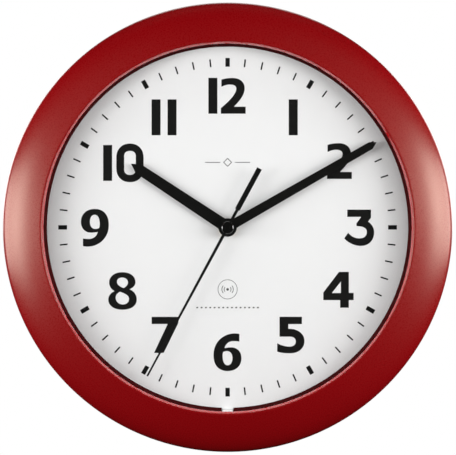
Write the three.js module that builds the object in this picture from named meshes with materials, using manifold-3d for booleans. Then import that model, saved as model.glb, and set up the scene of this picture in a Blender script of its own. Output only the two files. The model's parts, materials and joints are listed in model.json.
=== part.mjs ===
// A radio-controlled quartz wall clock, 300 mm across: a moulded case ring, a flat lens in a split
// retaining ring, a dial, three hands, and the whole battery movement with its gear train.
//
// +X is to the right as the clock is read, +Z is up, and the reader looks along +Y. The wall is the plane
// y = 0, and the origin is the point of the wall where the nail bears in the hanger. A "depth" is a distance
// in front of the wall, so a point at depth d has y = -d. Shapes are drawn in the plane of the dial, about
// the axis of the hands. All sizes are in millimetres.

import * as THREE from 'three';
import { mergeVertices } from 'three/addons/utils/BufferGeometryUtils.js';
import Module from 'manifold-3d';

const wasm = await Module();
wasm.setup();

// ---------------------------------------------------------------- driving dimensions

const GAP = 0.3;                  // clearance between neighbouring pieces
const HANGER_RISE = 41;           // the nail above the axis of the hands

const CASE_RADIUS = 150;
const CASE_DEPTH = 40;
const CASE_WALL = 2.2;
const OPENING_RADIUS = 122.3;     // inside the lip
const LIP = { width: 2, slant: 1.15, land: 0.25, round: 0.55 };   // its slanting inner edge
const SHOULDER = { radius: 148.6, depth: 30.8 };
const RIM_DEPTH = 27.5;           // where the case is widest
const REAR_RADIUS = 147;
const LINER = { inner: 124.7, outer: 126.7 };   // the case's inner wall, round the lens and the ring
const RIB = { count: 12, width: 1.6, back: 20 };
const BOSS = { count: 6, circle: 130.3, radius: 4, top: 36.2, bore: 1.5, boreEnd: 30 };
const SCREW = { shank: 1.2, hole: 1.6, head: 3, headHeight: 1.5 };
const CROSS = { length: 3.8, width: 0.8, depth: 0.7 };   // the recess in a screw's head

const LENS = { back: 35, front: 37 };
const DIAL = { back: 20.6, front: 22.4, radius: 135 };
const RING_RADIUS = LINER.inner - GAP;
const RING_BORE = { back: 120.8, front: 122.1 };
const TAB = { width: 7.2, front: 34, low: 121.7 };

const HUB_RADIUS = 6.15;
const HOUR_HAND = { angle: 303.4, length: 77.3, root: 8.2, tip: 6.9, back: 25.7, front: 26.3 };
const MINUTE_HAND = { angle: 60.2, length: 114.5, root: 6.5, tip: 5.1, back: 27.9, front: 28.5 };
const SECOND_HAND = { angle: 208.4, length: 112.7, root: 2.1, tip: 1.2, back: 30.7, front: 31.1 };
const TAIL = { length: 44.8, start: 13.6, neck: 2, width: 3.5 };
const COLLET = { radius: 2.2, back: 29.6 };
const CAP = { radius: 4.2, back: 31.4, front: 33.2 };
const HUB_STEP = 0.2;             // the hubs are a little thicker than the hands

// The arbor and the two tubes that carry the hands, one inside another, in the threaded bush.
const ARBOR_RADIUS = 0.6;
const ARBOR_END = 31.8;
const MINUTE_TUBE = { bore: 0.9, radius: 1.6, front: 28.9 };
const HOUR_TUBE = { bore: 1.9, radius: 2.5, front: 26.9 };
const BUSH = { bore: 2.8, radius: 4, flange: 6.5, back: 15.2, flangeFront: 16.4, front: 25.2 };
const NUT = { acrossFlats: 10, back: 22.7, front: 25 };
const WASHER = { back: 19.6, front: 20.3, radius: 9 };

// The movement: a chamber for the train and the electronics above a bay for the battery.
const MOVEMENT = { left: -35, right: 35, low: -34.4, high: 28, corner: 4, back: 2, front: 18.2, split: 10 };
const SHELL = 1.4;
const PARTITION = { low: -17.2, high: -15.8 };   // the wall between the chamber and the bay
const BAY = { left: -27.9, right: 26.9 };
const CHAMBER_FLOOR = MOVEMENT.back + SHELL;
const CHAMBER_ROOF = MOVEMENT.front - SHELL;
const PIVOT_RADIUS = 0.5;
const PIVOT_HOLE = PIVOT_RADIUS + GAP;
const PIVOT_BACK = 2.9;
const POST = { radius: 1.8, back: 11.5, front: CHAMBER_ROOF + GAP, holeDepth: 3 };

const BATTERY = { left: -25, right: 24.4, nub: 25.5, radius: 7.1, nubRadius: 2.7, z: -25.1, depth: 9.4 };
const HANGER = { thick: 0.8, front: 19.3, width: 22, shelf: 28.4, lugBack: 2.2, lugFront: 3.4, top: HANGER_RISE + 5 };
const KEYHOLE = { headRadius: 4.4, headZ: 33.9, slotRadius: 2.3 };

const BUTTON = { x: -28.8, radius: 2.2, back: 1.1, end: 4.9, flange: 3.1, flangeThick: 0.6, stem: 1.2 };
const BUTTON_HEIGHTS = { set: 11, receive: 2, reset: -7 };
const BOARD = { back: 7.6, front: 8.6, left: -33.2, right: -24.2, low: -15.4, high: 17.6 };
const BOARD_LEG = { low: 12.4, right: -10 };   // the board turns along the top of the chamber

const AROUND = 48;                // facets of the case, the lens, the ring and the dial
const SIDES = 16;                 // facets of a small round piece
const FEW_SIDES = 10;             // facets of the thinnest pins and holes
const MORE_SIDES = 24;            // facets of a hub, a nut's hole or the battery
const CROWN_STEPS = 5;

// ---------------------------------------------------------------- materials

const finish = (color, roughness, metalness = 0) => ({ color, roughness, metalness });

const FINISHES = {
  redPlastic: finish(0x8c0713, 0.38),
  darkMaroon: finish(0x260c0c, 0.85),
  clearLens: finish(0xf4f8f8, 0.05),
  dialWhite: finish(0xf1f1ef, 0.6),
  handBlack: finish(0x161412, 0.45),
  screwSteel: finish(0xa9abad, 0.35, 1),
  brass: finish(0xb8953f, 0.35, 1),
  rubber: finish(0x1b1b1b, 0.9),
  housingBlack: finish(0x1d1e20, 0.5),
  gearPlastic: finish(0xe9e4d2, 0.5),
  copper: finish(0xb8672e, 0.4, 1),
  ferrite: finish(0x3a3a3d, 0.7),
  boardGreen: finish(0x1f5a34, 0.5),
  chipBlack: finish(0x101113, 0.5),
  buttonGrey: finish(0x8a8d90, 0.5),
  batteryLabel: finish(0x2d4f8f, 0.3),
  nickel: finish(0xc9c7bf, 0.25, 1),
};

// ---------------------------------------------------------------- solids

/** The volume inside an indexed triangle mesh, negative if its faces point inwards. */
function signedVolume(positions, triangles) {
  const [a, b, c] = [new THREE.Vector3(), new THREE.Vector3(), new THREE.Vector3()];
  let volume = 0;
  for (let i = 0; i < triangles.length; i += 3) {
    a.fromArray(positions, 3 * triangles[i]);
    b.fromArray(positions, 3 * triangles[i + 1]);
    c.fromArray(positions, 3 * triangles[i + 2]);
    volume += a.dot(b.cross(c)) / 6;
  }
  return volume;
}

/** A closed three.js geometry as a solid that can be joined and cut. */
function toSolid(geometry) {
  geometry.deleteAttribute('normal');
  geometry.deleteAttribute('uv');
  const merged = mergeVertices(geometry, 1e-4);
  const positions = new Float32Array(merged.attributes.position.array);
  const triangles = [];
  for (let i = 0; i < merged.index.count; i += 3) {
    const corners = [0, 1, 2].map((k) => merged.index.getX(i + k));
    if (new Set(corners).size === 3) triangles.push(...corners);
  }
  if (signedVolume(positions, triangles) < 0) triangles.reverse();
  const triVerts = Uint32Array.from(triangles);
  return new wasm.Manifold(new wasm.Mesh({ numProp: 3, vertProperties: positions, triVerts }));
}

/** A solid as a three.js geometry. */
function toGeometry(solid) {
  const mesh = solid.getMesh();
  const geometry = new THREE.BufferGeometry();
  geometry.setAttribute('position', new THREE.BufferAttribute(mesh.vertProperties, 3));
  geometry.setIndex(new THREE.BufferAttribute(mesh.triVerts, 1));
  geometry.computeVertexNormals();
  return geometry;
}

/** All the solids in one. */
function join(first, ...others) {
  return others.reduce((whole, solid) => whole.add(solid), first);
}

/** The first solid without the others. */
function cut(first, ...others) {
  return others.reduce((whole, solid) => whole.subtract(solid), first);
}

/** A body turned about the axis of the hands, from a closed outline of [radius, depth] points. */
function turned(outline, sides = AROUND) {
  const points = [...outline, outline[0]].map(([radius, depth]) => new THREE.Vector2(radius, -depth));
  return toSolid(new THREE.LatheGeometry(points, sides));
}

/** A flat piece: a shape drawn in the plane of the dial, from one depth to another. */
function plate(shape, back, front) {
  const options = { depth: front - back, bevelEnabled: false, curveSegments: 6 };
  const geometry = new THREE.ExtrudeGeometry(shape, options);
  geometry.rotateX(Math.PI / 2);
  geometry.translate(0, -back, 0);
  return toSolid(geometry);
}

/** A round pin or disc along the depth, about the point x, z. */
function pin(radius, back, front, x = 0, z = 0, sides = SIDES) {
  const geometry = new THREE.CylinderGeometry(radius, radius, front - back, sides);
  geometry.translate(x, -(back + front) / 2, z);
  return toSolid(geometry);
}

/** A round bar along X, centred on the given height and depth. */
function barAlongX(radius, left, right, z, depth, sides = SIDES) {
  const geometry = new THREE.CylinderGeometry(radius, radius, right - left, sides);
  geometry.rotateZ(Math.PI / 2);
  geometry.translate((left + right) / 2, -depth, z);
  return toSolid(geometry);
}

/** A round bar along Z, centred on the given x and depth. */
function barAlongZ(radius, low, high, x, depth, sides = SIDES) {
  const geometry = new THREE.CylinderGeometry(radius, radius, high - low, sides);
  geometry.rotateX(Math.PI / 2);
  geometry.translate(x, -depth, (low + high) / 2);
  return toSolid(geometry);
}

/** A block from its limits across, in height and in depth. */
function block(left, right, low, high, back, front) {
  const geometry = new THREE.BoxGeometry(right - left, front - back, high - low);
  geometry.translate((left + right) / 2, -(back + front) / 2, (low + high) / 2);
  return toSolid(geometry);
}

/** A rectangle with round corners. */
function roundedRectangle(left, right, low, high, corner) {
  const shape = new THREE.Shape();
  shape.moveTo(left + corner, low);
  shape.absarc(right - corner, low + corner, corner, -Math.PI / 2, 0);
  shape.absarc(right - corner, high - corner, corner, 0, Math.PI / 2);
  shape.absarc(left + corner, high - corner, corner, Math.PI / 2, Math.PI);
  shape.absarc(left + corner, low + corner, corner, Math.PI, Math.PI * 1.5);
  return shape;
}

/** A point at a distance from the axis of the hands, the angle counted anticlockwise from +X. */
function polar(distance, degrees) {
  const angle = THREE.MathUtils.degToRad(degrees);
  return { x: distance * Math.cos(angle), z: distance * Math.sin(angle) };
}

/** The points of count pieces spread evenly on a circle about the axis of the hands. */
function onCircle(count, distance, firstDegrees = 0) {
  return Array.from({ length: count }, (_, i) => polar(distance, firstDegrees + (360 * i) / count));
}

// ---------------------------------------------------------------- case, ring, lens and dial

const crown = new THREE.CubicBezierCurve(
  new THREE.Vector2(OPENING_RADIUS + LIP.width, CASE_DEPTH),
  new THREE.Vector2(133, 38),
  new THREE.Vector2(143.8, 35.4),
  new THREE.Vector2(SHOULDER.radius, SHOULDER.depth),
);
const corner = new THREE.QuadraticBezierCurve(
  new THREE.Vector2(SHOULDER.radius, SHOULDER.depth),
  new THREE.Vector2(CASE_RADIUS, 29.2),
  new THREE.Vector2(CASE_RADIUS, RIM_DEPTH),
);

/** Points of a curve moved by a distance to its inner side, as [radius, depth]. */
function curvePoints(curve, steps, inwards = 0) {
  return Array.from({ length: steps + 1 }, (_, i) => {
    const point = curve.getPoint(i / steps);
    const along = curve.getTangent(i / steps);
    return [point.x + inwards * along.y, point.y - inwards * along.x];
  });
}

function caseOutline() {
  const seat = LENS.front + GAP;
  const lip = [
    [OPENING_RADIUS, seat + LIP.land],
    [OPENING_RADIUS + LIP.slant, CASE_DEPTH - LIP.round],
  ];
  const skin = curvePoints(crown, CROWN_STEPS, CASE_WALL).slice(1);
  const outside = [...curvePoints(crown, CROWN_STEPS), ...curvePoints(corner, 2).slice(1), [REAR_RADIUS, 0]];
  const inside = [...skin, [CASE_RADIUS - CASE_WALL, RIM_DEPTH]];
  const liner = [
    [LINER.outer, inside[0][1]],
    [LINER.outer, DIAL.front + GAP],
    [LINER.inner, DIAL.front + GAP],
    [LINER.inner, seat],
    [OPENING_RADIUS, seat],
  ];
  return [...lip, ...outside, [REAR_RADIUS - CASE_WALL, 0], ...inside.reverse(), ...liner];
}

/** One stiffening rib: it fills the hollow between the liner and the outer skin, and ends inside both. */
function caseRib(degrees) {
  const skinMiddle = curvePoints(crown, CROWN_STEPS, CASE_WALL / 2).slice(1);
  const sideMiddle = CASE_RADIUS - CASE_WALL / 2;
  const taper = ((CASE_RADIUS - REAR_RADIUS) * (RIM_DEPTH - RIB.back)) / RIM_DEPTH;
  const shape = new THREE.Shape();
  shape.moveTo(LINER.outer - 1, DIAL.front + 2 * GAP);
  shape.lineTo(LINER.outer - 1, skinMiddle[0][1]);
  skinMiddle.forEach(([radius, depth]) => shape.lineTo(radius, depth));
  shape.lineTo(sideMiddle, RIM_DEPTH);
  shape.lineTo(sideMiddle - taper, RIB.back);
  shape.lineTo(DIAL.radius + 2, DIAL.front + 2 * GAP);
  const geometry = new THREE.ExtrudeGeometry(shape, { depth: RIB.width, bevelEnabled: false });
  geometry.translate(0, 0, -RIB.width / 2);
  geometry.rotateX(Math.PI);
  geometry.rotateY(THREE.MathUtils.degToRad(degrees));
  return toSolid(geometry);
}

function frontCase() {
  const ribs = Array.from({ length: RIB.count }, (_, i) => caseRib((360 * (i + 0.5)) / RIB.count));
  const places = onCircle(BOSS.count, BOSS.circle);
  const bosses = places.map(({ x, z }) => pin(BOSS.radius, DIAL.front + GAP, BOSS.top, x, z));
  const bores = places.map(({ x, z }) => pin(BOSS.bore, DIAL.front, BOSS.boreEnd, x, z, FEW_SIDES));
  return cut(join(turned(caseOutline()), ...ribs, ...bosses), ...bores);
}

function lens() {
  return pin(LINER.inner - GAP, LENS.back, LENS.front, 0, 0, AROUND);
}

function retainingRing() {
  const back = DIAL.front + GAP;
  const front = LENS.back - GAP;
  const ring = turned([
    [RING_BORE.back, back],
    [RING_RADIUS, back],
    [RING_RADIUS, front],
    [RING_BORE.front, front],
  ]);
  const half = TAB.width / 2 + GAP;
  return cut(ring, block(-half, half, -CASE_RADIUS, -RING_BORE.back + 5, back - 1, front + 1));
}

function dialPlate() {
  const disc = pin(DIAL.radius, DIAL.back, DIAL.front, 0, 0, AROUND);
  const half = TAB.width / 2;
  const tab = block(-half, half, -(RING_RADIUS - GAP), -TAB.low, DIAL.front - 1, TAB.front);
  const holes = onCircle(BOSS.count, BOSS.circle).map(({ x, z }) => (
    pin(SCREW.hole, DIAL.back - 1, DIAL.front + 1, x, z, FEW_SIDES)
  ));
  const centre = pin(BUSH.radius + GAP, DIAL.back - 1, DIAL.front + 1);
  return cut(join(disc, tab), centre, ...holes);
}

/** A pan-head screw that goes in from behind the dial. */
function dialScrew(x, z) {
  const headFront = DIAL.back - GAP;
  const headBack = headFront - SCREW.headHeight;
  const head = pin(SCREW.head, headBack, headFront, x, z);
  const shank = pin(SCREW.shank, headFront - GAP, BOSS.boreEnd - 2, x, z, FEW_SIDES);
  const long = CROSS.length / 2;
  const wide = CROSS.width / 2;
  const slotEnd = headBack + CROSS.depth;
  const slots = [
    block(x - long, x + long, z - wide, z + wide, headBack - 1, slotEnd),
    block(x - wide, x + wide, z - long, z + long, headBack - 1, slotEnd),
  ];
  return cut(join(head, shank), ...slots);
}

// ---------------------------------------------------------------- hands

/** A tapered hand with a 60 degree point, drawn pointing up from the axis. */
function baton(hand) {
  const root = hand.root / 2;
  const tip = hand.tip / 2;
  const shoulder = hand.length - tip * Math.sqrt(3);
  const shape = new THREE.Shape();
  shape.moveTo(-root, 0);
  shape.lineTo(root, 0);
  shape.lineTo(tip, shoulder);
  shape.lineTo(0, hand.length);
  shape.lineTo(-tip, shoulder);
  return plate(shape, hand.back, hand.front);
}

/** A hand on its round hub, with the hole for the tube that carries it. */
function handOnHub(hand, tube) {
  const hub = pin(HUB_RADIUS, hand.back - HUB_STEP, hand.front, 0, 0, MORE_SIDES);
  return cut(join(baton(hand), hub), pin(tube.radius + GAP, hand.back - 1, hand.front + 1));
}

function secondHand() {
  const root = SECOND_HAND.root / 2;
  const tip = SECOND_HAND.tip / 2;
  const needle = new THREE.Shape();
  needle.moveTo(-root, 0);
  needle.lineTo(root, 0);
  needle.lineTo(tip, SECOND_HAND.length);
  needle.lineTo(-tip, SECOND_HAND.length);
  const { back, front } = SECOND_HAND;
  const neck = block(-TAIL.neck / 2, TAIL.neck / 2, -TAIL.start - 1, 0, back, front);
  const tail = block(-TAIL.width / 2, TAIL.width / 2, -TAIL.length, -TAIL.start, back, front);
  const collet = pin(COLLET.radius, COLLET.back, front);
  const hole = pin(ARBOR_RADIUS + GAP, COLLET.back - 1, front + 1, 0, 0, FEW_SIDES);
  return cut(join(plate(needle, back, front), neck, tail, collet), hole);
}

function centreCap() {
  const dome = turned([
    [0, CAP.back],
    [CAP.radius, CAP.back],
    [CAP.radius, CAP.front - 1],
    [CAP.radius - 0.4, CAP.front - 0.35],
    [CAP.radius - 1.4, CAP.front],
    [0, CAP.front],
  ], MORE_SIDES);
  return cut(dome, pin(ARBOR_RADIUS + GAP, CAP.back - 1, ARBOR_END + GAP, 0, 0, FEW_SIDES));
}

// ---------------------------------------------------------------- gear train

// Each wheel and pinion: its teeth and module. The pairs in mesh are named together.
const ROTOR_PAIR = { driver: 8, wheel: 48, module: 0.3 };
const SECONDS_PAIR = { driver: 8, wheel: 40, module: 0.52 };
const THIRD_PAIR = { driver: 8, wheel: 60, module: 0.36 };
const MINUTE_PAIR = { driver: 8, wheel: 64, module: 0.34 };
const MOTION_PAIR = { driver: 10, wheel: 30, module: 0.5 };
const HOUR_PAIR = { driver: 10, wheel: 40, module: 0.4 };

const centreDistance = (pair) => ((pair.driver + pair.wheel) * pair.module) / 2;

// Directions from one axis to the next, in degrees anticlockwise from +X.
const TO_THIRD = 184;
const TO_INTERMEDIATE = -18;
const INTERMEDIATE_TO_ROTOR = 8;
const TO_MOTION = 90;

const THIRD_AXIS = polar(centreDistance(THIRD_PAIR), TO_THIRD);
const INTERMEDIATE_AXIS = polar(centreDistance(SECONDS_PAIR), TO_INTERMEDIATE);
const ROTOR_OFFSET = polar(centreDistance(ROTOR_PAIR), INTERMEDIATE_TO_ROTOR);
const ROTOR_AXIS = { x: INTERMEDIATE_AXIS.x + ROTOR_OFFSET.x, z: INTERMEDIATE_AXIS.z + ROTOR_OFFSET.z };
const MOTION_AXIS = polar(centreDistance(MOTION_PAIR), TO_MOTION);

// Tooth form, in modules for heights and as shares of the angular pitch for half widths.
const TOOTH = {
  wheel: { tip: 0.9, root: 1.2, tipHalf: 0.085, rootHalf: 0.25 },
  driver: { tip: 0.85, root: 1.15, tipHalf: 0.1, rootHalf: 0.185 },
};

/** The toothed outline of a gear. phase is the angle of one tooth's centre, in radians from +X. */
function gearOutline(teeth, module, form, phase) {
  const pitchRadius = (teeth * module) / 2;
  const tip = pitchRadius + form.tip * module;
  const root = pitchRadius - form.root * module;
  const step = (2 * Math.PI) / teeth;
  const corners = [[root, -form.rootHalf], [tip, -form.tipHalf], [tip, form.tipHalf], [root, form.rootHalf]];
  const points = [];
  for (let tooth = 0; tooth < teeth; tooth += 1) {
    for (const [radius, share] of corners) {
      const angle = phase + step * (tooth + share);
      points.push(new THREE.Vector2(radius * Math.cos(angle), radius * Math.sin(angle)));
    }
  }
  return new THREE.Shape(points);
}

/** The phase of a gear in mesh with another one, which lies the other way along the given direction. */
function meshedPhase(otherPhase, otherTeeth, teeth, degreesToThis) {
  const towards = THREE.MathUtils.degToRad(degreesToThis);
  return towards + Math.PI - ((otherPhase - towards) * otherTeeth) / teeth - Math.PI / teeth;
}

const wheelDisc = (pair, phase, [back, front]) => (
  plate(gearOutline(pair.wheel, pair.module, TOOTH.wheel, phase), back, front)
);
const pinionDisc = (pair, phase, [back, front]) => (
  plate(gearOutline(pair.driver, pair.module, TOOTH.driver, phase), back, front)
);

// Where each disc lies, as [back, front] depths. A pinion overlaps the wheel that it is moulded with.
const LEVEL = {
  rotorPinion: [4, 5.4],
  intermediateWheel: [4.2, 5],
  intermediatePinion: [4.9, 7.2],
  secondsWheel: [5.8, 6.6],
  secondsPinion: [6.5, 8.8],
  thirdWheel: [7.4, 8.2],
  thirdPinion: [8.1, 11.1],
  minuteWheel: [9.8, 10.6],
  minutePinion: [10.5, 12.9],
  motionWheel: [11.6, 12.4],
  motionPinion: [12.3, 15],
  hourWheel: [13.6, 14.4],
};

// Phases along the train, so that every pair is in mesh at rest. The train starts at the seconds arbor.
const PHASE = { seconds: 0, minute: 0, hour: 0 };
PHASE.intermediate = meshedPhase(PHASE.seconds, SECONDS_PAIR.wheel, SECONDS_PAIR.driver, TO_INTERMEDIATE);
PHASE.rotor = meshedPhase(PHASE.intermediate, ROTOR_PAIR.wheel, ROTOR_PAIR.driver, INTERMEDIATE_TO_ROTOR);
PHASE.thirdWheel = meshedPhase(PHASE.seconds, THIRD_PAIR.driver, THIRD_PAIR.wheel, TO_THIRD);
PHASE.thirdPinion = meshedPhase(PHASE.minute, MINUTE_PAIR.wheel, MINUTE_PAIR.driver, TO_THIRD);
PHASE.motionWheel = meshedPhase(PHASE.minute, MOTION_PAIR.driver, MOTION_PAIR.wheel, TO_MOTION);
PHASE.motionPinion = meshedPhase(PHASE.hour, HOUR_PAIR.wheel, HOUR_PAIR.driver, TO_MOTION);

function secondsWheel() {
  return join(
    wheelDisc(SECONDS_PAIR, PHASE.seconds, LEVEL.secondsWheel),
    pinionDisc(THIRD_PAIR, PHASE.seconds, LEVEL.secondsPinion),
    pin(ARBOR_RADIUS, PIVOT_BACK, ARBOR_END, 0, 0, FEW_SIDES),
  );
}

function minuteWheel() {
  const body = join(
    wheelDisc(MINUTE_PAIR, PHASE.minute, LEVEL.minuteWheel),
    pinionDisc(MOTION_PAIR, PHASE.minute, LEVEL.minutePinion),
    pin(MINUTE_TUBE.radius, LEVEL.minuteWheel[0], MINUTE_TUBE.front),
  );
  return cut(body, pin(MINUTE_TUBE.bore, LEVEL.minuteWheel[0] - 1, ARBOR_END));
}

function hourWheel() {
  const body = join(
    wheelDisc(HOUR_PAIR, PHASE.hour, LEVEL.hourWheel),
    pin(HOUR_TUBE.radius, LEVEL.hourWheel[0], HOUR_TUBE.front),
  );
  return cut(body, pin(HOUR_TUBE.bore, LEVEL.hourWheel[0] - 1, ARBOR_END));
}

/** A gear with the axis that it turns on. */
const onAxis = (axis, solid) => ({ axis, solid });

/** The steel arbor of a gear, from its hole in the rear housing to its post on the front one. */
const gearArbor = () => pin(PIVOT_RADIUS, PIVOT_BACK, POST.back + POST.holeDepth - GAP, 0, 0, FEW_SIDES);

function thirdWheel() {
  return onAxis(THIRD_AXIS, join(
    wheelDisc(THIRD_PAIR, PHASE.thirdWheel, LEVEL.thirdWheel),
    pinionDisc(MINUTE_PAIR, PHASE.thirdPinion, LEVEL.thirdPinion),
    gearArbor(),
  ));
}

function intermediateWheel() {
  return onAxis(INTERMEDIATE_AXIS, join(
    wheelDisc(ROTOR_PAIR, PHASE.intermediate, LEVEL.intermediateWheel),
    pinionDisc(SECONDS_PAIR, PHASE.intermediate, LEVEL.intermediatePinion),
    gearArbor(),
  ));
}

function motionWheel() {
  const body = join(
    wheelDisc(MOTION_PAIR, PHASE.motionWheel, LEVEL.motionWheel),
    pinionDisc(HOUR_PAIR, PHASE.motionPinion, LEVEL.motionPinion),
  );
  const hole = pin(PIVOT_HOLE, LEVEL.motionWheel[0] - 1, LEVEL.motionPinion[1] + 1, 0, 0, FEW_SIDES);
  return onAxis(MOTION_AXIS, cut(body, hole));
}

const MAGNET = { radius: 3, back: 7, front: 10 };

function rotorPinion() {
  return onAxis(ROTOR_AXIS, join(
    pinionDisc(ROTOR_PAIR, PHASE.rotor, LEVEL.rotorPinion),
    gearArbor(),
  ));
}

function rotorMagnet() {
  const ring = pin(MAGNET.radius, MAGNET.back, MAGNET.front);
  return onAxis(ROTOR_AXIS, cut(ring, pin(PIVOT_HOLE, MAGNET.back - 1, MAGNET.front + 1, 0, 0, FEW_SIDES)));
}

// ---------------------------------------------------------------- step motor

const COIL = { x: 29.2, depth: 9.8, low: -9, high: 11, bobbin: 2.2, flange: 0.8, winding: 3.5 };
const CORE = { halfWidth: 1.2, halfThick: 0.5, overhang: 3.6 };
const STATOR = { left: 15.8, right: 31.2, back: 8, front: 9, arm: 4, clearance: 0.5 };

function statorPlate() {
  const { left, right, back, front, arm, clearance } = STATOR;
  const body = plate(roundedRectangle(left, right, COIL.low - arm, COIL.high + arm, 1), back, front);
  const windowLeft = COIL.x - COIL.winding - clearance;
  const windowLow = COIL.low - clearance;
  const coilWindow = block(windowLeft, right + 1, windowLow, COIL.high + clearance, back - 1, front + 1);
  const rotorHole = pin(MAGNET.radius + clearance, back - 1, front + 1, ROTOR_AXIS.x, ROTOR_AXIS.z);
  return cut(body, coilWindow, rotorHole);
}

function coilCore() {
  const { halfWidth, halfThick, overhang } = CORE;
  const [low, high] = [COIL.low - overhang, COIL.high + overhang];
  const [back, front] = [COIL.depth - halfThick, COIL.depth + halfThick];
  return block(COIL.x - halfWidth, COIL.x + halfWidth, low, high, back, front);
}

function coilBobbin() {
  const tube = barAlongZ(COIL.bobbin, COIL.low, COIL.high, COIL.x, COIL.depth);
  const flanges = [COIL.low, COIL.high - COIL.flange].map((low) => (
    barAlongZ(COIL.winding, low, low + COIL.flange, COIL.x, COIL.depth)
  ));
  const [wide, thick] = [CORE.halfWidth + GAP, CORE.halfThick + GAP];
  const [back, front] = [COIL.depth - thick, COIL.depth + thick];
  const hole = block(COIL.x - wide, COIL.x + wide, COIL.low - 1, COIL.high + 1, back, front);
  return cut(join(tube, ...flanges), hole);
}

function coilWinding() {
  const low = COIL.low + COIL.flange + GAP;
  const high = COIL.high - COIL.flange - GAP;
  const body = barAlongZ(COIL.winding - GAP, low, high, COIL.x, COIL.depth);
  return cut(body, barAlongZ(COIL.bobbin + GAP, low - 1, high + 1, COIL.x, COIL.depth));
}

// ---------------------------------------------------------------- radio receiver and board

const ANTENNA = { z: 22.4, depth: 10, rod: 2.8, reach: 31, winding: 3.8, windingReach: 20 };
const CHIP = { size: 6, height: 1.2, z: -9.5 };
const CRYSTAL = { radius: 1.1, low: -3.5, high: 3 };
const CAPACITOR = { radius: 2.5, height: 6, z: 9 };
const SWITCH = { size: 4.4, height: 1, plunger: 1 };

function antennaRod() {
  return barAlongX(ANTENNA.rod, -ANTENNA.reach, ANTENNA.reach, ANTENNA.z, ANTENNA.depth);
}

function antennaWinding() {
  const reach = ANTENNA.windingReach;
  const body = barAlongX(ANTENNA.winding, -reach, reach, ANTENNA.z, ANTENNA.depth);
  return cut(body, barAlongX(ANTENNA.rod + GAP, -reach - 1, reach + 1, ANTENNA.z, ANTENNA.depth));
}

function circuitBoard() {
  const tall = block(BOARD.left, BOARD.right, BOARD.low, BOARD.high, BOARD.back, BOARD.front);
  return join(tall, block(BOARD.left, BOARD_LEG.right, BOARD_LEG.low, BOARD.high, BOARD.back, BOARD.front));
}

function driverChip() {
  const back = BOARD.front + GAP;
  const half = CHIP.size / 2;
  return block(BUTTON.x - half, BUTTON.x + half, CHIP.z - half, CHIP.z + half, back, back + CHIP.height);
}

function quartzCrystal() {
  const depth = BOARD.front + GAP + CRYSTAL.radius;
  return barAlongZ(CRYSTAL.radius, CRYSTAL.low, CRYSTAL.high, BUTTON.x, depth, FEW_SIDES);
}

function capacitor() {
  return pin(CAPACITOR.radius, BOARD.front + GAP, BOARD.front + CAPACITOR.height, BUTTON.x, CAPACITOR.z);
}

function tactSwitch(z) {
  const front = BOARD.back - GAP;
  const half = SWITCH.size / 2;
  const back = front - SWITCH.height;
  const body = block(BUTTON.x - half, BUTTON.x + half, z - half, z + half, back, front);
  return join(body, pin(SWITCH.plunger, back - GAP, back + GAP, BUTTON.x, z, FEW_SIDES));
}

/** A push button: its cap stands out of the rear housing, and its flange keeps it in. */
function pushButton(z) {
  const flangeBack = CHAMBER_FLOOR + GAP;
  const flangeFront = flangeBack + BUTTON.flangeThick;
  return join(
    pin(BUTTON.radius, BUTTON.back, flangeFront, BUTTON.x, z),
    pin(BUTTON.flange, flangeBack, flangeFront, BUTTON.x, z),
    pin(BUTTON.stem, flangeBack, BUTTON.end, BUTTON.x, z),
  );
}

// ---------------------------------------------------------------- movement housing

/** The chamber of the train, as deep as asked. */
function chamberSpace(back, front) {
  const { left, right, high } = MOVEMENT;
  return block(left + SHELL, right - SHELL, PARTITION.high, high - SHELL, back, front);
}

/** The battery bay, as deep as asked. */
function baySpace(back, front) {
  return block(BAY.left, BAY.right, MOVEMENT.low + SHELL, PARTITION.low, back, front);
}

function movementOutline() {
  return roundedRectangle(MOVEMENT.left, MOVEMENT.right, MOVEMENT.low, MOVEMENT.high, MOVEMENT.corner);
}

function frontHousing() {
  const back = MOVEMENT.split + GAP / 2;
  const shell = cut(
    plate(movementOutline(), back, MOVEMENT.front),
    chamberSpace(back - 1, CHAMBER_ROOF),
    baySpace(back - 1, CHAMBER_ROOF),
    pin(BUSH.radius + GAP, CHAMBER_ROOF - 1, MOVEMENT.front + 1),
  );
  const axes = [THIRD_AXIS, INTERMEDIATE_AXIS, ROTOR_AXIS];
  const posts = axes.map(({ x, z }) => pin(POST.radius, POST.back, POST.front, x, z, FEW_SIDES));
  const pivots = axes.map(({ x, z }) => (
    pin(PIVOT_HOLE, POST.back - 1, POST.back + POST.holeDepth, x, z, FEW_SIDES)
  ));
  const studBack = LEVEL.motionWheel[0] - GAP;
  const stud = pin(PIVOT_RADIUS, studBack, POST.front, MOTION_AXIS.x, MOTION_AXIS.z, FEW_SIDES);
  return cut(join(shell, ...posts, stud), ...pivots);
}

function rearHousing() {
  const front = MOVEMENT.split - GAP / 2;
  const axes = [{ x: 0, z: 0 }, THIRD_AXIS, INTERMEDIATE_AXIS, ROTOR_AXIS];
  const pivotFloor = PIVOT_BACK - GAP;
  const pivots = axes.map(({ x, z }) => (
    pin(ARBOR_RADIUS + GAP, pivotFloor, CHAMBER_FLOOR + 1, x, z, FEW_SIDES)
  ));
  const buttonHoles = Object.values(BUTTON_HEIGHTS).map((z) => (
    pin(BUTTON.radius + GAP, MOVEMENT.back - 1, CHAMBER_FLOOR + 1, BUTTON.x, z)
  ));
  return cut(
    plate(movementOutline(), MOVEMENT.back, front),
    chamberSpace(CHAMBER_FLOOR, front + 1),
    baySpace(MOVEMENT.back - 1, front + 1),
    ...pivots,
    ...buttonHoles,
  );
}

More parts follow.
